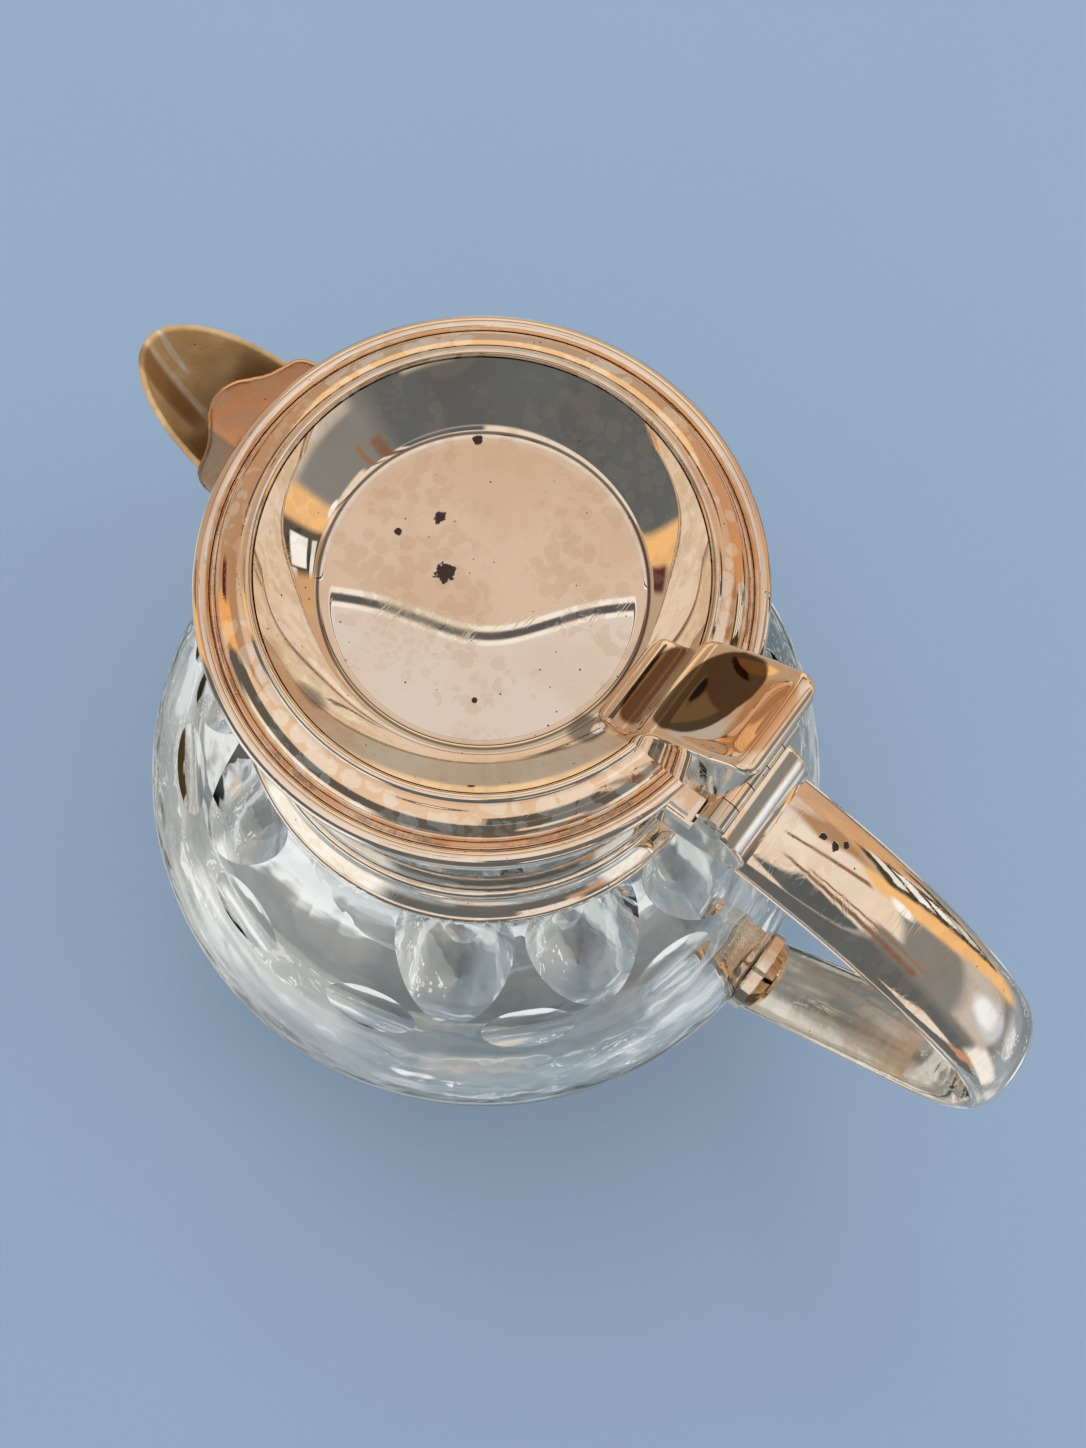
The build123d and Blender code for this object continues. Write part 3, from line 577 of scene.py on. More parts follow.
@dataclass(frozen=True)
class PlasterFinish:
    """Pale plaster that beds the collar on the neck."""

    name: str = "plaster_bed"
    tone: Colour = srgb(206, 198, 184)
    dry_tone: Colour = srgb(232, 226, 214)

    def material(self) -> bpy.types.Material:
        """Build the material.

        Returns:
            The finished material.
        """
        made, sheet = new_material(self.name)
        grain = sheet.noise(sheet.place(), 1.5, 5)
        colour = sheet.blend(grain, self.tone, self.dry_tone)
        sheet.principled({"Base Color": colour, "Roughness": grain * 0.2 + 0.7})
        return made


# ---------------------------------------------------------------- mesh helpers


class Body(Enum):
    """The two bodies that move against each other."""

    JUG = "jug"
    LID = "lid"


Nodes = Mapping[str, bpy.types.Object]


def as_object(name: str, shape: bmesh.types.BMesh) -> bpy.types.Object:
    """Turn a finished bmesh into an object in the scene.

    Args:
        name: Name of the object.
        shape: The bmesh, which is freed.

    Returns:
        The object, at the origin.
    """
    mesh = bpy.data.meshes.new(name)
    shape.to_mesh(mesh)
    shape.free()
    made = bpy.data.objects.new(name, mesh)
    bpy.context.scene.collection.objects.link(made)
    return made


def smooth_faces(piece: bpy.types.Object) -> None:
    """Shade every face of a piece smooth."""
    for face in piece.data.polygons:
        face.use_smooth = True


def dress(piece: bpy.types.Object, finish: bpy.types.Material) -> None:
    """Give one object its material in every slot and report it.

    Args:
        piece: The object.
        finish: Its material.
    """
    for slot in piece.material_slots:
        slot.material = finish
    if not piece.material_slots:
        piece.data.materials.append(finish)
    LOG.info("%s: %s, %d faces", piece.name, finish.name, len(piece.data.polygons))


def eased_copy(node: bpy.types.Object, name: str, grid: float, rounds: int) -> bpy.types.Object:
    """Copy a plain part with every sharp edge rubbed round.

    Args:
        node: The plain part.
        name: Name of the copy.
        grid: Mesh size of the copy in millimetres.
        rounds: How often the edges are rubbed.

    Returns:
        The copy, with its modifiers applied.
    """
    shape = bmesh.new()
    shape.from_mesh(node.data)
    bmesh.ops.remove_doubles(shape, verts=shape.verts, dist=WELD)
    piece = as_object(name, shape)
    closed = piece.modifiers.new("close", "REMESH")
    closed.mode = "VOXEL"
    closed.voxel_size = grid * MM
    rubbed = piece.modifiers.new("rub", "SMOOTH")
    rubbed.factor = RUB
    rubbed.iterations = rounds
    graph = bpy.context.evaluated_depsgraph_get()
    finished = bpy.data.meshes.new_from_object(piece.evaluated_get(graph))
    piece.modifiers.clear()
    piece.data = finished
    smooth_faces(piece)
    return piece


BEVEL_STEPS_PER_MM = 4
FEWEST_BEVEL_STEPS = 4


def turned_shell(
    name: str, profile: Sequence[tuple[float, float, float]], steps: int, sheet: float
) -> bpy.types.Object:
    """Spin a profile round the jug's axis into a thin shell.

    Args:
        name: Name of the piece.
        profile: Radius, height and rounding of each corner in millimetres, from the axis out.
        steps: Faces round the axis.
        sheet: Thickness of the metal in millimetres, added underneath.

    Returns:
        The shell.
    """
    shape = bmesh.new()
    corners = [shape.verts.new((r * MM, 0.0, z * MM)) for r, z, _ in profile]
    for first, second in zip(corners, corners[1:]):
        shape.edges.new((first, second))
    for corner, (_, _, radius) in zip(corners, profile):
        if radius:
            bmesh.ops.bevel(
                shape,
                geom=[corner],
                offset=radius * MM,
                offset_type="OFFSET",
                affect="VERTICES",
                segments=max(FEWEST_BEVEL_STEPS, round(radius * BEVEL_STEPS_PER_MM)),
                profile=0.5,
                material=-1,
            )
    bmesh.ops.spin(
        shape,
        geom=shape.verts[:] + shape.edges[:],
        cent=(0, 0, 0),
        axis=(0, 0, 1),
        angle=2 * math.pi,
        steps=steps,
        use_merge=True,
    )
    bmesh.ops.remove_doubles(shape, verts=shape.verts, dist=WELD)
    bmesh.ops.recalc_face_normals(shape, faces=shape.faces)
    # The sheet grows under its faces, so they have to look up on the whole.
    if sum(face.normal.z * face.calc_area() for face in shape.faces) < 0:
        bmesh.ops.reverse_faces(shape, faces=shape.faces)
    piece = as_object(name, shape)
    wall = piece.modifiers.new("sheet", "SOLIDIFY")
    wall.thickness = sheet * MM
    wall.offset = -1.0
    smooth_faces(piece)
    return piece


# ---------------------------------------------------------------- the jug


@dataclass
class GlassVessel:
    """Cut-glass globe and the plaster that beds the collar on its neck."""

    nodes: Nodes
    glass: GlassFinish = GlassFinish()
    bed: PlasterFinish = PlasterFinish()

    def build(self) -> None:
        """Dress the globe and its bed."""
        dress(self.nodes["glass_body"], self.glass.material())
        dress(self.nodes["neck_cement"], self.bed.material())


@dataclass
class Collar:
    """Straight collar with a spreading foot, a wire and a rolled rim."""

    nodes: Nodes
    # Painted shade: the wall's tone is dark grey, for the dark reflections on it.
    wall: SilverFinish = SilverFinish(
        "collar_wall_shaded_silver", tone=srgb(128, 125, 122), islands=0.2, scratches=0.3
    )
    worn: SilverFinish = SilverFinish(
        "collar_worn_silver",
        tone=srgb(255, 250, 242),
        island_tone=srgb(242, 214, 184),
        islands=0.4,
    )

    def build(self) -> None:
        """Dress the collar's parts."""
        dress(self.nodes["collar_wall"], self.wall.material())
        worn = self.worn.material()
        for name in ("collar_foot", "collar_wire", "collar_rim"):
            dress(self.nodes[name], worn)


@dataclass
class Spout:
    """Pouring lip, gilt inside, and the guard over its root."""

    nodes: Nodes
    grid: float = 0.3
    rubbing: int = 6
    gilt: SilverFinish = SilverFinish(
        "gilt_silver",
        tone=srgb(238, 204, 150),
        island_tone=srgb(218, 178, 126),
        islands=0.3,
        stain=0.5,
        stain_tone=srgb(192, 140, 84),
        roughness=0.24,
        metal=0.0,
        painted_patches=(
            # Painted highlights: two pale streaks along the keel inside the lip.
            Shade((-58.0, 1.6, 191.0), (2.6, 0.45, 5.0), srgb(255, 244, 222), 0.6),
            Shade((-55.0, -0.6, 186.0), (6.0, 0.6, 12.0), srgb(255, 238, 206), 0.8),
            # Painted shade: a broad dark patch and a darker band beside the keel.
            Shade((-47.0, 0.0, 186.0), (4.6, 9.0, 14.0), srgb(126, 88, 56), 0.9),
            Shade((-57.0, -2.6, 188.0), (5.0, 1.6, 12.0), srgb(150, 108, 70), 0.9),
        ),
    )
    copper: SilverFinish = SilverFinish(
        "worn_to_copper",
        tone=srgb(236, 190, 154),
        island_tone=srgb(212, 184, 160),
        islands=0.5,
        roughness=0.12,
        # A greyer patch over the guard's near part.
        painted_patches=(Shade((-40.0, -11.0, 196.0), (7.5, 6.6, 6.0), srgb(170, 160, 148), 0.15, -0.4),),
    )

    def build(self) -> None:
        """Make the lip and the guard with rubbed edges."""
        lip = eased_copy(self.nodes["spout"], "spout_lip", self.grid, self.rubbing)
        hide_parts("spout")
        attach(lip, Body.JUG.value)
        dress(lip, self.gilt.material())
        guard = eased_copy(self.nodes["spout_guard"], "spout_shield", self.grid, self.rubbing)
        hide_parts("spout_guard")
        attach(guard, Body.JUG.value)
        dress(guard, self.copper.material())


@dataclass
class Handle:
    """Hollow loop handle of two strips, its socket on the collar and its lower ferrule."""

    nodes: Nodes
    grid: float = 0.35
    rubbing: int = 8
    silver: SilverFinish = SilverFinish(
        "handle_silver",
        tone=srgb(252, 245, 236),
        island_tone=srgb(238, 214, 190),
        islands=0.4,
        stain=0.2,
        stain_top=135.0,
        stain_tone=srgb(174, 148, 120),
        pits=(
            Pit((59.2, 2.7, 180.9), 0.8),
            Pit((61.4, 2.6, 180.4), 0.8),
            Pit((62.6, 3.9, 179.8), 0.7),
        ),
    )

    def build(self) -> None:
        """Dress the strips and make the socket with rubbed edges."""
        silver = self.silver.material()
        for name in ("handle_shell", "handle_inner_strip", "lower_ferrule"):
            dress(self.nodes[name], silver)
        socket = eased_copy(self.nodes["upper_socket"], "handle_socket", self.grid, self.rubbing)
        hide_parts("upper_socket")
        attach(socket, Body.JUG.value)
        dress(socket, silver)


@dataclass
class Lid:
    """Lid with a rounded bead, a raised border and a sunk dish."""

    nodes: Nodes
    seat: tuple[float, float] = (37.3, 195.37)
    edge: tuple[float, float] = (36.5, 197.8)
    edge_rounding: float = 0.5
    brow: tuple[float, float] = (35.7, 199.4)
    brow_rounding: float = 0.8
    brim: tuple[float, float] = (31.3, 201.87)
    lip_inset: float = 0.1
    lip_drop: float = 0.35
    lip_rounding: float = 0.3
    wall: tuple[float, float] = (27.55, 196.45)
    wall_rounding: float = 4.0
    crease: tuple[float, float] = (23.3, 192.67)
    crease_rounding: float = 0.9
    floor_depth: float = 0.05
    floor_ring: float = 2.0
    sheet: float = 1.0
    steps: int = 240
    border: SilverFinish = SilverFinish(
        "border_silver",
        tone=srgb(245, 219, 192),
        island_tone=srgb(255, 246, 234),
        island_size=2.6,
        islands=0.9,
        pits=(
            Pit((28.1, 27.9, 196.0), 1.0),
            Pit((-37.1, 17.0, 196.0), 0.7),
            Pit((-38.7, -9.5, 196.0), 0.7),
        ),
        grooves=(
            Groove(37.4, 195.4, 0.45, srgb(110, 96, 86), 0.4),
            Groove(31.3, 201.9, 0.35, BROWN, 0.7),
        ),
    )
    pale: SilverFinish = SilverFinish(
        "bead_silver",
        tone=srgb(250, 240, 230),
        island_tone=srgb(240, 214, 190),
        islands=0.4,
    )
    bowl: SilverFinish = SilverFinish(
        "bowl_silver",
        tone=srgb(250, 243, 234),
        island_tone=srgb(230, 214, 192),
        island_size=2.2,
        islands=0.6,
        island_haze=0.012,
        roughness=0.008,
        scratches=0.25,
        relief=0.012,
        pits=(
            Pit((-11.2, 4.4, 192.2), 1.1),
            Pit((-14.6, -0.8, 192.3), 0.7),
            Pit((-5.6, -1.6, 192.1), 1.6),
            Pit((-14.2, 17.2, 192.7), 0.8),
            Pit((8.9, -13.7, 192.4), 0.5),
            Pit((24.0, -2.2, 193.4), 0.6),
        ),
        painted_patches=(
            # Painted reflections: a dark blotch at the left end of the crease, and a dark halo
            # round a painted white highlight at its right end.
            Shade((-8.6, -28.6, 195.0), (3.6, 2.2, 4.0), srgb(150, 146, 144), 0.6),
            Shade((24.6, -8.2, 193.6), (3.0, 2.4, 3.0), srgb(150, 146, 144), 0.7),
            Shade((25.6, -7.4, 193.8), (1.3, 1.1, 2.0), WHITE, 0.5),
        ),
        grooves=(Groove(23.3, 192.7, 0.4, srgb(96, 86, 82), 0.9),),
    )

    def build(self) -> None:
        """Make the border and the bowl, and dress the rest of the lid."""
        border = turned_shell(
            "lid_crown",
            [
                (*self.brim, 0),
                (*self.brow, self.brow_rounding),
                (*self.edge, self.edge_rounding),
                (*self.seat, 0),
            ],
            self.steps,
            self.sheet,
        )
        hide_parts("lid_border")
        centre = self.crease[1] - self.floor_depth
        bowl = turned_shell(
            "lid_bowl",
            [
                (0.0, centre, 0),
                # Two rings hold the floor's shading level right up to the crease.
                (self.crease[0] / 2, centre + self.floor_depth * 0.4, 0),
                (self.crease[0] - self.floor_ring, centre + self.floor_depth * 0.9, 0),
                (*self.crease, self.crease_rounding),
                (*self.wall, self.wall_rounding),
                (self.brim[0] - self.lip_inset, self.brim[1] - self.lip_drop, self.lip_rounding),
                (*self.brim, 0),
            ],
            self.steps,
            self.sheet,
        )
        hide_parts("lid_dish")
        worn, pale = self.border.material(), self.pale.material()
        for piece, finish in ((border, worn), (bowl, self.bowl.material())):
            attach(piece, Body.LID.value)
            dress(piece, finish)
        dress(self.nodes["lid_bead"], pale)
        dress(self.nodes["lid_tab"], worn)
        dress(self.nodes["lid_skirt"], pale)


@dataclass
class Thumbpiece:
    """Stepped spoon-shaped thumbpiece and the saddle that carries it."""

    nodes: Nodes
    grid: float = 0.28
    rubbing: int = 6
    seat_front: tuple[float, float] = (32.6, 212.4)
    seat_back: tuple[float, float] = (42.6, 221.9)
    seat_half_width: float = 6.6
    seat_depth: float = 2.3
    seat_flatness: float = 0.8
    seat_reach: float = 2.0
    silver: SilverFinish = SilverFinish(
        "thumbpiece_silver",
        tone=srgb(250, 236, 220),
        island_tone=srgb(228, 202, 176),
        islands=0.4,
        painted_patches=(
            # Painted reflection: an orange glow on the back of the seat.
            Shade((41.0, 0.0, 220.5), (3.4, 5.4, 5.0), srgb(226, 184, 146), 0.3),
            # Painted shade: the hollow of the seat dark brown.
            Shade((34.4, 0.4, 215.0), (4.2, 6.6, 7.0), srgb(104, 86, 68), 0.12, 0.32),
            # Painted shade: the riser in front of the seat dark brown.
            Shade((28.2, 0.6, 203.8), (2.6, 6.6, 5.6), srgb(130, 102, 80), 0.2),
        ),
    )

    def build(self) -> None:
        """Make the thumbpiece and the saddle with rubbed edges."""
        silver = self.silver.material()
        for name, made in (("thumbpiece", "thumb_rest"), ("thumb_saddle", "thumb_base")):
            piece = eased_copy(self.nodes[name], made, self.grid, self.rubbing)
            if name == "thumbpiece":
                self._sink_seat(piece)
            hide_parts(name)
            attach(piece, Body.LID.value)
            # Its own image would fill the far side of the polished dish.
            piece.visible_glossy = False
            dress(piece, silver)

    def _sink_seat(self, piece: bpy.types.Object) -> None:
        """Press one smooth hollow into the top, from the riser to the rolled back.

        Args:
            piece: The thumbpiece, whose vertices are moved.
        """
        front = Vector((self.seat_front[0], 0.0, self.seat_front[1])) * MM
        run = Vector((self.seat_back[0], 0.0, self.seat_back[1])) * MM - front
        up = Vector((-run.z, 0.0, run.x)).normalized()
        shape = bmesh.new()
        shape.from_mesh(piece.data)
        pressed = 0
        for vert in shape.verts:
            along = (vert.co - front).dot(run) / run.length_squared
            across = vert.co.y / (self.seat_half_width * MM)
            height = (vert.co - front).dot(up)
            if 0 < along < 1 and abs(across) < 1 and height > -self.seat_reach * MM:
                hollow = (1 - (2 * along - 1) ** 2) * (1 - across**2) ** self.seat_flatness
                vert.co -= up * (height + hollow * self.seat_depth * MM)
                pressed += 1
        for _ in range(self.rubbing):
            bmesh.ops.smooth_vert(
                shape,
                verts=shape.verts,
                factor=RUB,
                use_axis_x=True,
                use_axis_y=True,
                use_axis_z=True,
            )
        shape.to_mesh(piece.data)
        shape.free()
        smooth_faces(piece)
        LOG.info("%s: %d points pressed", piece.name, pressed)


@dataclass
class Hinge:
    """Fixed leaf and pin of the lid's hinge."""

    nodes: Nodes
    leaf: SilverFinish = SilverFinish("hinge_silver", tone=srgb(220, 208, 194), islands=0.3)
    steel: SilverFinish = SilverFinish("hinge_pin_metal", tone=srgb(190, 186, 178), roughness=0.25)

    def build(self) -> None:
        """Dress the leaf and the pin."""
        dress(self.nodes["hinge_bracket"], self.leaf.material())
        dress(self.nodes["hinge_pin"], self.steel.material())


# ---------------------------------------------------------------- the studio


@dataclass(frozen=True)
class Lamp:
    """A soft box: where it stands, where it looks, its sides in metres and its power."""

    name: str
    place: Point
    aim: Point
    sides: tuple[float, float]
    watts: float

    def build(self) -> bpy.types.Object:
        """Set the lamp up.

        Returns:
            The lamp's object.
        """
        data = bpy.data.lights.new(self.name, "AREA")
        data.shape = "RECTANGLE"
        data.size, data.size_y = self.sides
        data.energy = self.watts
        lamp = bpy.data.objects.new(self.name, data)
        lamp.location = self.place
        away = Vector(self.place) - Vector(self.aim)
        lamp.rotation_euler = away.to_track_quat("Z", "Y").to_euler()
        lamp.visible_glossy = False
        bpy.context.scene.collection.objects.link(lamp)
        return lamp


@dataclass(frozen=True)
class Gaze:
    """A direction seen from the jug: as a vector of length one, and as angles in degrees."""

    way: Signal
    azimuth: Signal
    elevation: Signal


@dataclass(frozen=True)
class Card:
    """A card in the tent: middle, half sizes and soft edge in degrees round the jug, and tone."""

    azimuth: float
    elevation: float
    half_width: float
    half_height: float
    tone: Colour
    soft: float

    def mask(self, gaze: Gaze) -> Signal:
        """Draw the card, by how far a direction is from its middle.

        Args:
            gaze: The direction.

        Returns:
            The mask, 0 to 1.
        """
        ends = {0: gaze.azimuth - self.azimuth, 1: 180.0, 2: -180.0}
        turned = gaze.way.sheet.node("ShaderNodeMath", {"operation": "WRAP"}, ends)
        across = abs(turned).step(self.half_width + self.soft, self.half_width - self.soft / 2)
        up = abs(gaze.elevation - self.elevation)
        return across * up.step(self.half_height + self.soft, self.half_height - self.soft / 2)


@dataclass(frozen=True)
class Glow:
    """A round light in the tent: middle, radius and soft edge in degrees, and tone."""

    azimuth: float
    elevation: float
    radius: float
    tone: Colour
    soft: float

    def mask(self, gaze: Gaze) -> Signal:
        """Draw the light, by how far a direction is from its middle.

        Args:
            gaze: The direction.

        Returns:
            The mask, 0 to 1.
        """
        turn, rise = math.radians(self.azimuth), math.radians(self.elevation)
        level = math.cos(rise)
        middle = (level * math.cos(turn), level * math.sin(turn), math.sin(rise))
        away = gaze.way.sheet.vector("DISTANCE", gaze.way, middle) * DEGREE
        return away.step(self.radius + self.soft, self.radius - self.soft / 2)


SLATE = srgb(98, 101, 103)
ORANGE = srgb(248, 198, 136)

# Tones round the tent, by azimuth in degrees: its walls, and the cloth under the jug.
WALLS: tuple[tuple[float, Colour], ...] = (
    (-180, srgb(186, 160, 134)),
    (-158, srgb(192, 166, 140)),
    (-155, ORANGE),
    (-145, ORANGE),
    (-142, SLATE),
    (-15, SLATE),
    (-4, srgb(134, 133, 130)),
    (25, srgb(134, 133, 130)),
    (28, ORANGE),
    (38, ORANGE),
    (41, srgb(202, 178, 154)),
    (50, srgb(210, 170, 136)),
    (68, srgb(204, 164, 134)),
    (90, srgb(204, 168, 138)),
    (106, srgb(188, 178, 166)),
    (146, srgb(186, 178, 170)),
    (160, srgb(190, 162, 136)),
)

UNDER: tuple[tuple[float, Colour], ...] = (
    (-180, srgb(164, 168, 168)),
    (-140, srgb(206, 206, 200)),
    (-100, srgb(172, 180, 186)),
    (-50, srgb(150, 164, 174)),
    (-10, srgb(160, 172, 182)),
    (40, srgb(148, 158, 166)),
    (72, srgb(116, 126, 132)),
    (115, srgb(102, 110, 116)),
    (150, srgb(130, 136, 138)),
)

CARDS: tuple[Card, ...] = (
    Card(49, 8, 11, 22, srgb(74, 68, 54), 2.0),
    Card(45, -7, 4, 4, srgb(210, 214, 206), 0.6),
    Card(45, 3, 3, 4, WHITE, 0.6),
    Card(54, 4, 2, 8, srgb(230, 236, 230), 0.6),
    Card(46, 14, 5, 3.5, WHITE, 0.6),
    Card(48, 23, 7, 2.5, srgb(236, 240, 236), 0.6),
    Card(60, 16, 6, 18, srgb(214, 170, 128), 3.0),
    Card(50, 43, 7, 8, srgb(176, 138, 104), 4.0),
    Card(-160, 20, 4, 7, srgb(96, 52, 52), 2.0),
    Card(-33, 49, 20, 9, srgb(92, 98, 102), 2.5),
    Card(-34, 2, 9, 7, srgb(236, 224, 212), 2.0),
    Card(-20, -12, 8, 6, srgb(200, 152, 120), 2.0),
    Card(-6, 44, 2.2, 20, srgb(132, 100, 80), 2.0),
    Card(2, 40, 1.0, 18, srgb(150, 116, 92), 1.0),
    Card(17, 37, 10, 5, srgb(238, 220, 200), 2.5),
    Card(28, 52, 1.4, 12, srgb(140, 110, 86), 1.5),
    Card(-57, -37, 10, 5, srgb(222, 208, 194), 3.0),
    Card(-42, -21, 20, 6, srgb(104, 104, 102), 3.0),
    Card(-8, -20, 7, 15, srgb(246, 244, 240), 3.0),
    Card(-108, -20, 22, 18, srgb(255, 254, 250), 6.0),
    Card(12, 0, 15, 8, srgb(200, 190, 180), 4.0),
    Card(120, -20, 16, 3, srgb(240, 210, 166), 2.0),
    Card(-175, 49, 30, 11, srgb(188, 158, 134), 5.0),
    Card(122, 43, 34, 12, srgb(255, 228, 190), 3.0),
    Card(128, 60, 42, 2.6, srgb(88, 80, 76), 1.5),
    Card(98, -61.5, 13, 2.0, srgb(240, 244, 246), 1.5),
    Card(130, -75, 18, 2.5, srgb(244, 248, 250), 1.2),
)

GLOWS: tuple[Glow, ...] = (
    Glow(11, -5, 7.5, srgb(206, 214, 226), 4.0),
    Glow(12, -1, 5.0, srgb(244, 249, 255), 3.0),
    Glow(27, 30, 3.0, WHITE, 1.5),
    Glow(25, 76, 3.4, srgb(255, 250, 238), 1.5),
    Glow(-88, 79, 3.6, srgb(120, 112, 108), 1.5),
    Glow(-88, 79, 1.6, WHITE, 0.8),
    Glow(-72, -52, 3.0, WHITE, 2.0),
    Glow(20, -56, 2.4, WHITE, 1.5),
    Glow(-135, -48, 3.0, WHITE, 2.0),
)


@dataclass
class Studio:
    """Pale floor, a tent of cards for metal and glass to reflect, lamps and the camera."""

    floor_radius: float = 0.9
    floor_sides: int = 96
    floor_tone: Colour = srgb(161, 182, 207)
    floor_cloud: float = 1.04
    floor_cloud_size: float = 90.0
    surround_tone: Colour = srgb(222, 226, 230)
    surround_strength: float = 0.91
    tent_radius: float = 3.0
    tent_steps: tuple[int, int] = (64, 32)
    ceiling_from: float = 39.0
    ceiling_blur: float = 2.0
    ceiling_tones: tuple[Colour, Colour] = (srgb(224, 210, 200), srgb(218, 194, 174))
    far_ceiling_tone: Colour = srgb(206, 176, 150)
    near_ceiling_tone: Colour = srgb(238, 224, 210)
    cornice_axis: Point = (-0.585, 0.811, 0.0)
    cornice_run: Point = (0.811, 0.585, 0.0)
    cornice: float = 0.2865
    cornice_tone: Colour = srgb(92, 88, 90)
    cornice_edge_tone: Colour = srgb(255, 250, 240)
    wave_middle: float = -0.8
    wave_height: float = 1.15
    wave_sharpness: float = 0.1
    cloth_from: float = -12.0
    cloth_full: float = -26.0
    fold_size: float = 0.42
    fold_tones: tuple[Colour, Colour] = (srgb(84, 94, 98), srgb(232, 238, 238))
    hem: float = -70.5
    hem_tone: Colour = srgb(226, 232, 236)
    spark_size: float = 0.03
    lamps: tuple[Lamp, ...] = (
        Lamp("key", (-0.55, 0.35, 1.3), (0.0, 0.0, 0.15), (0.9, 0.9), 3.6),
        Lamp("side", (0.9, 0.5, 0.7), (0.0, 0.0, 0.15), (0.4, 0.6), 1.6),
    )
    camera_place: Point = (0.04055, -0.05038, 0.38669)
    camera_right: Point = (0.79949, 0.59985, 0.03149)
    camera_down: Point = (0.59035, -0.77498, -0.22561)
    camera_ahead: Point = (-0.11093, 0.19897, -0.97371)
    camera_sensor: float = 36.0
    focal_share: float = 1450 / 1086

    def build(self) -> None:
        """Build everything that isn't the jug."""
        self._floor()
        self._world()
        self._tent()
        for lamp in self.lamps:
            lamp.build()
        self._camera()
        bpy.context.scene.view_settings.view_transform = "Standard"

    def _floor(self) -> None:
        """Lay a round pale floor, which metal and glass don't mirror."""
        shape = bmesh.new()
        bmesh.ops.create_circle(
            shape, cap_ends=True, segments=self.floor_sides, radius=self.floor_radius
        )
        floor = as_object("floor", shape)
        made, sheet = new_material("floor_paper")
        pale = tuple(c * self.floor_cloud for c in self.floor_tone)
        cloud = sheet.noise(sheet.place(), self.floor_cloud_size, 2)
        colour = sheet.blend(cloud, self.floor_tone, pale)
        sheet.principled({"Base Color": colour, "Roughness": 0.9, "Specular IOR Level": 0.1})
        dress(floor, made)
        floor.visible_glossy = False
        floor.visible_transmission = False

    def _world(self) -> None:
        """Light everything evenly from a plain pale surround."""
        world = bpy.data.worlds.new("surround")
        bpy.context.scene.world = world
        world.use_nodes = True
        sheet = NodeSheet(world.node_tree)
        sockets = {"Color": self.surround_tone, "Strength": self.surround_strength}
        light = sheet.node("ShaderNodeBackground", None, sockets)
        sheet.node("ShaderNodeOutputWorld", None, {"Surface": light})

    def _tent(self) -> None:
        """Hang a tent of warm and dark cards round the jug, which only metal and glass see."""
        shape = bmesh.new()
        round_steps, high_steps = self.tent_steps
        bmesh.ops.create_uvsphere(
            shape, u_segments=round_steps, v_segments=high_steps, radius=self.tent_radius
        )
        tent = as_object("card_tent", shape)
        made, sheet = new_material("card_tones")
        sockets = {"Color": self._tent_tones(sheet), "Strength": 1.0}
        light = sheet.node("ShaderNodeEmission", None, sockets)
        sheet.node("ShaderNodeOutputMaterial", None, {"Surface": light})
        dress(tent, made)
        tent.visible_camera = False
        tent.visible_diffuse = False
        tent.visible_shadow = False

    def _tent_tones(self, sheet: NodeSheet) -> Signal:
        """Paint the tent: walls, cloth below, ceiling above, then cards and round lights.

        Args:
            sheet: The tent's nodes.

        Returns:
            The tone in every direction from the jug.
        """
        way = sheet.vector("NORMALIZE", sheet.place())
        x, y, z = sheet.parts(way)
        azimuth = sheet.node("ShaderNodeMath", {"operation": "ARCTAN2"}, {0: y, 1: x}) * DEGREE
        elevation = sheet.node("ShaderNodeMath", {"operation": "ARCSINE"}, {0: z}) * DEGREE
        gaze = Gaze(way, azimuth, elevation)
        walls, cloth = (self._round_tones(azimuth, tones) for tones in (WALLS, UNDER))
        cloth = self._cloth(gaze, cloth)
        colour = sheet.blend(elevation.step(self.cloth_from, self.cloth_full), walls, cloth)
        low, high = self.ceiling_from - self.ceiling_blur, self.ceiling_from + self.ceiling_blur
        colour = sheet.blend(elevation.step(low, high), colour, self._ceiling(way))
        for panel in (*CARDS, *GLOWS):
            colour = sheet.blend(panel.mask(gaze), colour, panel.tone)
        return colour

    def _round_tones(self, azimuth: Signal, tones: Sequence[tuple[float, Colour]]) -> Signal:
        """Run tones round the tent, blended between their azimuths.

        Args:
            azimuth: Azimuth of the direction in degrees.
            tones: Azimuth in degrees and tone of each stop.

        Returns:
            The tone at each azimuth.
        """
        stops = [((angle + 180) / 360, tone) for angle, tone in tones]
        turn = azimuth / 360 + 0.5
        return azimuth.sheet.node("ShaderNodeValToRGB", {"stops": stops}, {0: turn})

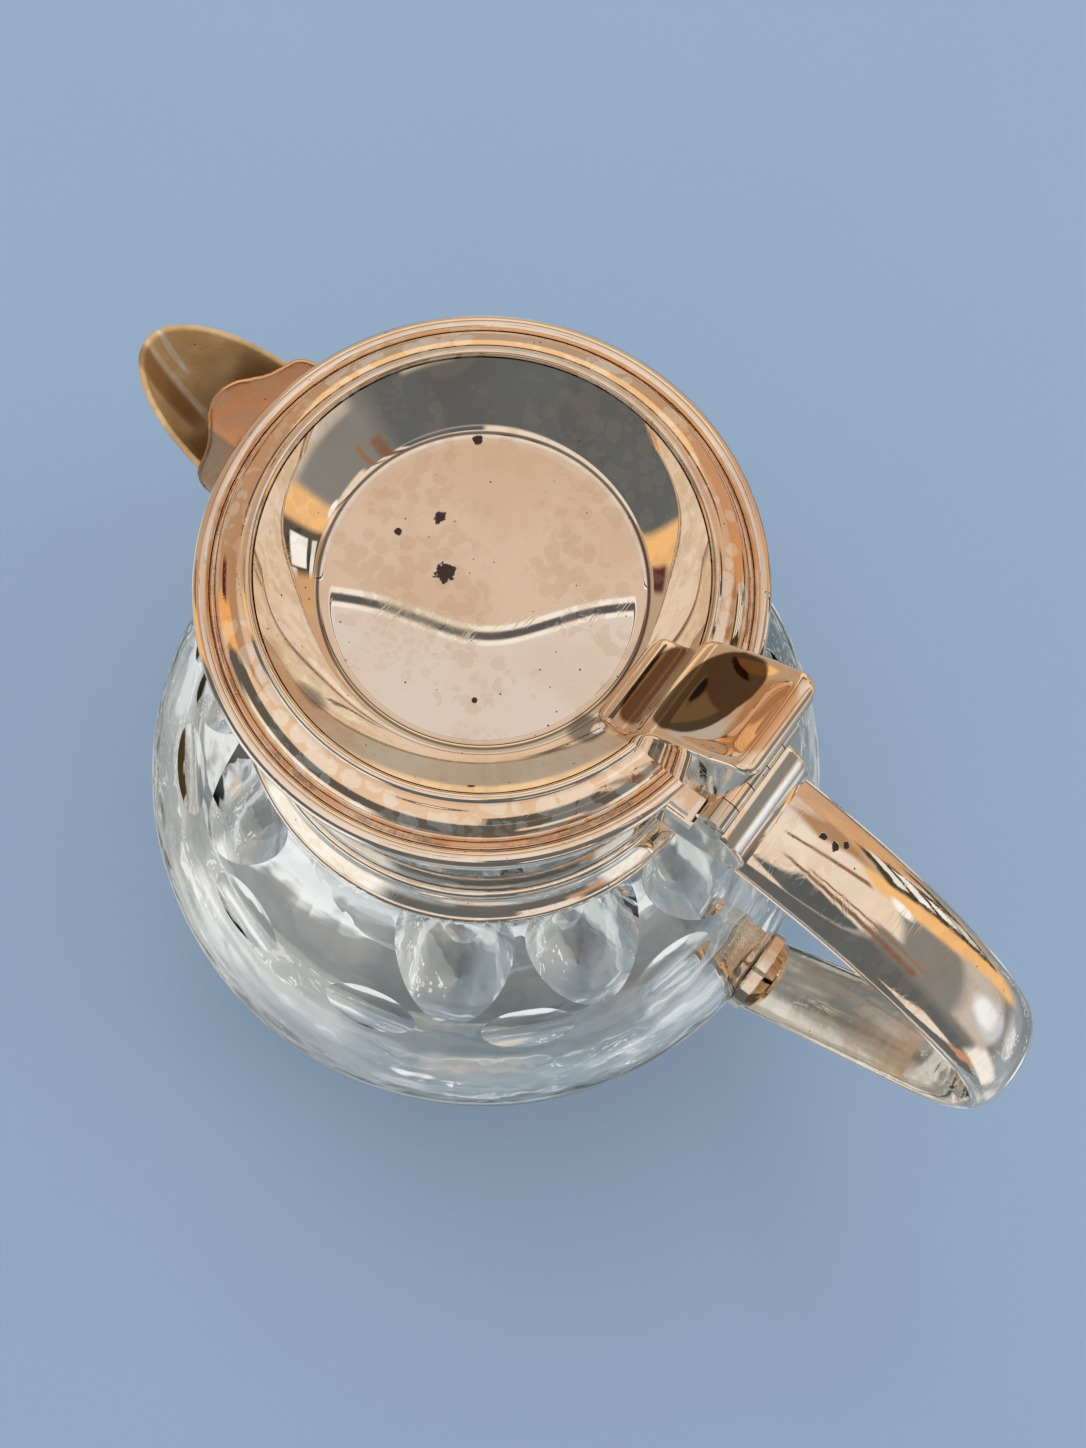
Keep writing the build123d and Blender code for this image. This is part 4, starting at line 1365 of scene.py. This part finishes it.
    def _cloth(self, gaze: Gaze, tones: Signal) -> Signal:
        """Spread grey cloth under the jug, with soft folds, a bright hem and sparks.

        Args:
            gaze: The direction from the jug.
            tones: The plain tones of the cloth.

        Returns:
            The tones with folds, hem and sparks.
        """
        way, sheet = gaze.way, gaze.way.sheet
        fold = sheet.noise(way, self.fold_size, 3)
        cloth = sheet.blend(fold.step(0.52, 0.38) * 0.4, tones, self.fold_tones[0])
        cloth = sheet.blend(fold.step(0.54, 0.64) * 0.8, cloth, self.fold_tones[1])
        hem = abs(gaze.elevation - self.hem).step(2.6, 1.2)
        hem = hem * sheet.noise(way, 0.25, 1).step(0.42, 0.5)
        cloth = sheet.blend(hem * 0.8, cloth, self.hem_tone)
        spark = sheet.cells(way, self.spark_size).step(0.36, 0.26)
        return sheet.blend(spark * sheet.noise(way, 0.3, 1).step(0.56, 0.6), cloth, WHITE)

    def _ceiling(self, way: Signal) -> Signal:
        """Stretch a pale ceiling in two tones over the lid, with a dark moulding between them.

        Args:
            way: Direction from the jug, of length one.

        Returns:
            The ceiling's tones.
        """
        sheet = way.sheet
        along = sheet.vector("DOT_PRODUCT", way, self.cornice_run) * DEGREE - self.wave_middle
        past = (sheet.vector("DOT_PRODUCT", way, self.cornice_axis) - self.cornice) * DEGREE
        out = past + math.e ** (along * along * -self.wave_sharpness) * self.wave_height
        pale = sheet.blend(out.step(-0.2, 0.1), *self.ceiling_tones)
        pale = sheet.blend(out.step(2.5, 7.0) * 0.5, pale, self.far_ceiling_tone)
        lined = sheet.blend(abs(out).step(0.20, 0.10), pale, self.cornice_tone)
        edges = abs(out - 0.26).step(0.14, 0.06).most(abs(out + 0.25).step(0.12, 0.05))
        lined = sheet.blend(edges * 0.85, lined, self.cornice_edge_tone)
        return sheet.blend(past.step(-6, -14), lined, self.near_ceiling_tone)

    def _camera(self) -> None:
        """Set the camera up above the jug."""
        data = bpy.data.cameras.new("camera")
        data.sensor_fit = "HORIZONTAL"
        data.sensor_width = self.camera_sensor
        data.lens = self.focal_share * self.camera_sensor
        camera = bpy.data.objects.new("camera", data)
        right, down, ahead = (
            Vector(axis) for axis in (self.camera_right, self.camera_down, self.camera_ahead)
        )
        turned = Matrix((right, -down, -ahead)).transposed().to_4x4()
        turned.translation = Vector(self.camera_place)
        camera.matrix_world = turned
        bpy.context.scene.collection.objects.link(camera)
        bpy.context.scene.camera = camera


def main() -> None:
    """Load the frame, build and dress each sub-assembly and set up the studio."""
    logging.basicConfig(level=logging.INFO, format="%(name)s %(message)s")
    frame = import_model()
    nodes = frame["nodes"]
    for assembly in (GlassVessel, Collar, Spout, Handle, Lid, Thumbpiece, Hinge):
        assembly(nodes).build()
    Studio().build()


if __name__ == "__main__":
    main()
